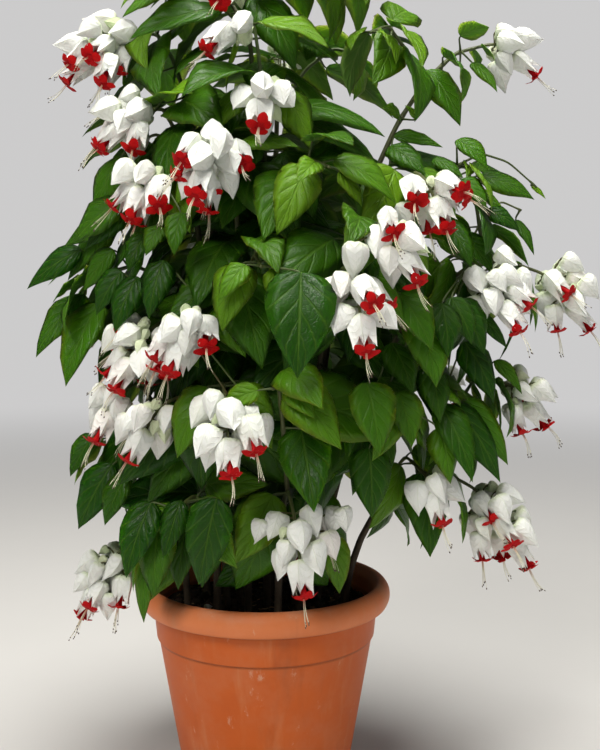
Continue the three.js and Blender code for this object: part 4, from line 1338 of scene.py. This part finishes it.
def drained(piece):
    """Cuts the four drain holes through the pot's floor."""
    middles = np.array([polar(45 + 90 * k, 52, 0) for k in range(4)])[:, None, None]
    rings = middles + cylindrical(6, -circle(20), 0.0) + np.array([8, -4])[:, None, None] * UP
    points, faces = loft(rings, rings[:, 0].mean(axis=1), rings[:, 1].mean(axis=1))
    mesh = mesh_of("drain_cutters", points, [row for group in faces for row in group.tolist()])
    cutter = add_object("drain_cutters", mesh)
    cut = piece.modifiers.new("drains", "BOOLEAN")
    cut.object, cut.operation, cut.solver, cut.use_self = cutter, "DIFFERENCE", "EXACT", False
    bpy.context.view_layer.update()
    seen = piece.evaluated_get(bpy.context.evaluated_depsgraph_get())
    finished = bpy.data.meshes.new_from_object(seen)
    piece.modifiers.clear()
    old, piece.data = piece.data, finished
    bpy.data.objects.remove(cutter)
    for spent in (old, mesh):
        bpy.data.meshes.remove(spent)
    piece.data.name = piece.name
    piece.data.set_sharp_from_angle(angle=math.radians(50))


heap = Heap()
heap.add(*turned(rounded(POT_CORNERS), 128))
drained(heap.piece("nursery_pot", [pot_plastic], "pot_plastic", ["pot"]))

# ---- soil


def soil_top(x, y, lumpy=1.0):
    """The mounded surface: level + mound (1 - r^2) with a long slow swell, and on it lumps of up
    to 1.5 mm: five octaves of crossed sine waves, each turned by 1.1 radians from the last and
    with 1.9 times its frequency and 0.62 of its height."""
    r = np.hypot(x, y) / SOIL["mouth"]
    swell = np.sin(x * 0.11 + 1.3) * np.cos(y * 0.13 - 0.4)
    lumps, size, wave = 0.0, 1.0, 0.16
    for k in range(5):
        c, s = math.cos(1.1 * k), math.sin(1.1 * k)
        p, q = c * x - s * y, s * x + c * y
        one_way = np.sin(wave * p + 1.7 * k + np.sin(0.7 * wave * q))
        lumps = lumps + size * one_way * np.sin(wave * q + 2.3 * k)
        size, wave = size * 0.62, wave * 1.9
    mound = SOIL["level"] + SOIL["mound"] * (1 - r * r) + SOIL["roughness"] * swell
    return mound + 1.5 * lumps * lumpy


def soil_bed():
    """A closed plug: under, up the pot's wall, and the lumpy top."""
    a = circle(150)
    r = SOIL["rim"] * np.sqrt(np.linspace(1, 0.0004, 46))[:, None]
    edge = smooth(SOIL["rim"] - r, 0, 6)
    z = soil_top(r * np.cos(a), r * np.sin(a), 0.3 + 0.7 * edge) - 0.6 * (1 - edge)
    wall = [cylindrical(*low) for low in ((74.0, a, 4.6), (75.0, a, 5.0), (90.5, a, 98.0))]
    rings = np.concatenate([np.array(wall), cylindrical(r, a, z)])[None]
    return loft(rings, np.array([[0, 0, 4.6]]), np.array([[0, 0, z[-1].mean()]]))


def scattered(rng, n, reach):
    """The places of n things strewn evenly within a radius: reach x sqrt(draw)."""
    r, a = reach * np.sqrt(rng.random(n)), 2 * math.pi * rng.random(n)
    return r * np.cos(a), r * np.sin(a)


def crumbs(n, seed, smallest, largest):
    """Crumbs: twenty-faced lumps, each stretched and turned at random and sunk a third of its
    size into the soil. Sizes follow a steep law, so that small ones are the most."""
    rng = np.random.default_rng(seed)
    g = (1 + math.sqrt(5)) / 2
    base = np.array([
        (-1, g, 0), (1, g, 0), (-1, -g, 0), (1, -g, 0), (0, -1, g), (0, 1, g),
        (0, -1, -g), (0, 1, -g), (g, 0, -1), (g, 0, 1), (-g, 0, -1), (-g, 0, 1),
    ]) / math.hypot(1, g)
    tris = np.array([
        (0, 11, 5), (0, 5, 1), (0, 1, 7), (0, 7, 10), (0, 10, 11), (1, 5, 9), (5, 11, 4),
        (11, 10, 2), (10, 7, 6), (7, 1, 8), (3, 9, 4), (3, 4, 2), (3, 2, 6), (3, 6, 8),
        (3, 8, 9), (4, 9, 5), (2, 4, 11), (6, 2, 10), (8, 6, 7), (9, 8, 1),
    ])
    size = smallest + (largest - smallest) * rng.random(n) ** 4
    shape = base[None] * (0.75 + 0.5 * rng.random((n, 12, 1)))
    shape = shape * (1 + 0.7 * (rng.random((n, 1, 3)) - 0.5)) * size[:, None, None]
    shape[..., 2] *= 0.75
    q = unit(rng.normal(size=(n, 4)))
    v = q[:, None, 1:]
    shape = shape + 2 * np.cross(v, np.cross(v, shape) + q[:, None, :1] * shape)
    x, y = scattered(rng, n, 104)
    points = shape + np.stack([x, y, soil_top(x, y) + 0.3 * size], -1)[:, None]
    faces = (tris[None] + (np.arange(n) * 12)[:, None, None]).reshape(-1, 3)
    return points.reshape(-1, 3), [faces], 0, (0, 0), rng.random(n)


def slivers(n, seed):
    """Bits of bark and dead stalk: thin bent tubes of four sides that lie on the soil."""
    rng = np.random.default_rng(seed)
    x, y = scattered(rng, n, 98)
    turn, length = 2 * math.pi * rng.random(n), 5 + 16 * rng.random(n) ** 2
    half = 0.5 * length[:, None] * cylindrical(1, turn, 0.0)
    aside = cylindrical(1, turn + math.pi / 2, 0.0) * (rng.random((n, 1)) - 0.5) * 5
    middle = np.stack([x, y, soil_top(x, y) + 1.6], -1)
    path = bezier([middle - half, middle + aside, middle + half], 5)
    path[..., 2] = soil_top(path[..., 0], path[..., 1]) + 0.9
    radii = (0.4 + 0.5 * rng.random(n))[:, None] * np.array([0.5, 1, 1, 0.9, 0.4])
    return *tubes(path, radii, UP + 0.01, 4), 0, (0, 0), rng.random(n)


for name, finish, skins in (
    ("soil_bed", soil_crumb, soil_bed()), ("soil_crumbs", soil_crumb, crumbs(1500, 11, 1.0, 5.5)),
    ("soil_litter", dry_litter, slivers(120, 5)),
):
    heap = Heap()
    heap.add(*skins)
    heap.piece(name, [finish], "soil", ["potting_soil"])

# Calyces that have dropped: where each lies on the soil, which way it points, its size.
dropped = [
    {
        "base": np.array([x, y, soil_top(x, y, 0.0) + 4.0]), "side": UP + 0.01, "open": False,
        "axis": unit(cylindrical(1, math.radians(turn), 0.08)), "seed": 8900 + k, "size": size,
    }
    for k, (x, y, turn, size) in enumerate(
        [(6, 48, 165, 0.36), (-58, -38, 40, 0.30), (34, 78, 250, 0.40)]
    )
]
heap = Heap()
calyces(heap, dropped)
heap.piece("dropped_calyces", [calyx_paper], "flowers", crease=44)

# ---- floor, light and camera

BACKDROP = (0.605, 0.60, 0.60)


def stage_floor():
    """A pale round floor, far wider than the view, that fades into the backdrop's grey."""
    paint = bpy.data.materials.new("studio_floor_paint")
    f = emptied(paint)
    place = f.node("TexCoord")["Object"]
    patches = mottle(f, place, 3.0, 1.0)["Patches"]
    pale = f.mix(patches, (0.60, 0.59, 0.575), (0.63, 0.62, 0.605))
    near = f.node("BsdfPrincipled", Base_Color=pale, Roughness=0.95, Specular_IOR_Level=0.1)[0]
    away = f.node("VectorMath", {"operation": "LENGTH"}, _0=place)["Value"]
    glow = f.node("Emission", Color=BACKDROP)[0]
    both = f.node("MixShader", _0=f.ramp(away, 0.5, 4.5), _1=near, _2=glow)[0]
    f.node("OutputMaterial", Surface=both)
    mesh = mesh_of("studio_floor", cylindrical(9000, circle(96), 0.0), [list(range(96))])
    mesh.materials.append(paint)
    add_object("studio_floor", mesh)


def soft_box(name, at, aim, size, power, colour=(1, 1, 1)):
    lamp = bpy.data.lights.new(name, "AREA")
    lamp.shape, lamp.size, lamp.energy, lamp.color = "DISK", size, power, colour
    box = add_object(name, lamp)
    ahead = unit(np.array(aim, float) - np.array(at, float))
    box.location = at
    turn = math.atan2(ahead[1], ahead[0]) - math.pi / 2
    box.rotation_euler = (math.acos(-ahead[2]), 0, turn)


def studio_world():
    """A pale backdrop for the view, and a dimmer even glow that lights the plant: brighter from
    above than from below."""
    world = bpy.data.worlds.new("studio")
    f = emptied(world)
    height = f.xyz(f.node("TexCoord")["Generated"])["Z"]
    glow = f.mix(f.ramp(height, -0.3, 0.9), (0.03, 0.03, 0.03), (0.17, 0.17, 0.17))
    path = f.node("LightPath")
    glow = f.mix(path["Is Glossy Ray"], glow, (0.10, 0.10, 0.10))
    light = f.node("Background", Color=glow, Strength=1.0)[0]
    backdrop = f.node("Background", Color=BACKDROP, Strength=1.0)[0]
    both = f.node("MixShader", _0=path["Is Camera Ray"], _1=light, _2=backdrop)[0]
    f.node("OutputWorld", Surface=both)
    bpy.context.scene.world = world


stage_floor()
soft_box("key_light", (-1.0, -2.1, 2.4), (0, 0, 0.40), 1.2, 50, (1.0, 0.97, 0.91))
soft_box("fill_light", (2.4, -1.3, 1.2), (0, 0, 0.45), 2.0, 4)
soft_box("top_light", (0.1, -0.4, 3.0), (0, 0, 0.5), 1.5, 100, (1.0, 0.98, 0.93))
studio_world()

view = bpy.data.cameras.new("view")
view.lens, view.sensor_width, view.clip_start = 47.6, 36, 0.05
camera = add_object("view", view)
camera.location = (0.0345, -0.986, 0.483)
camera.rotation_euler = (math.radians(90 - 3.63), 0, 0)
bpy.context.scene.camera = camera
bpy.context.scene.view_settings.view_transform = "Standard"
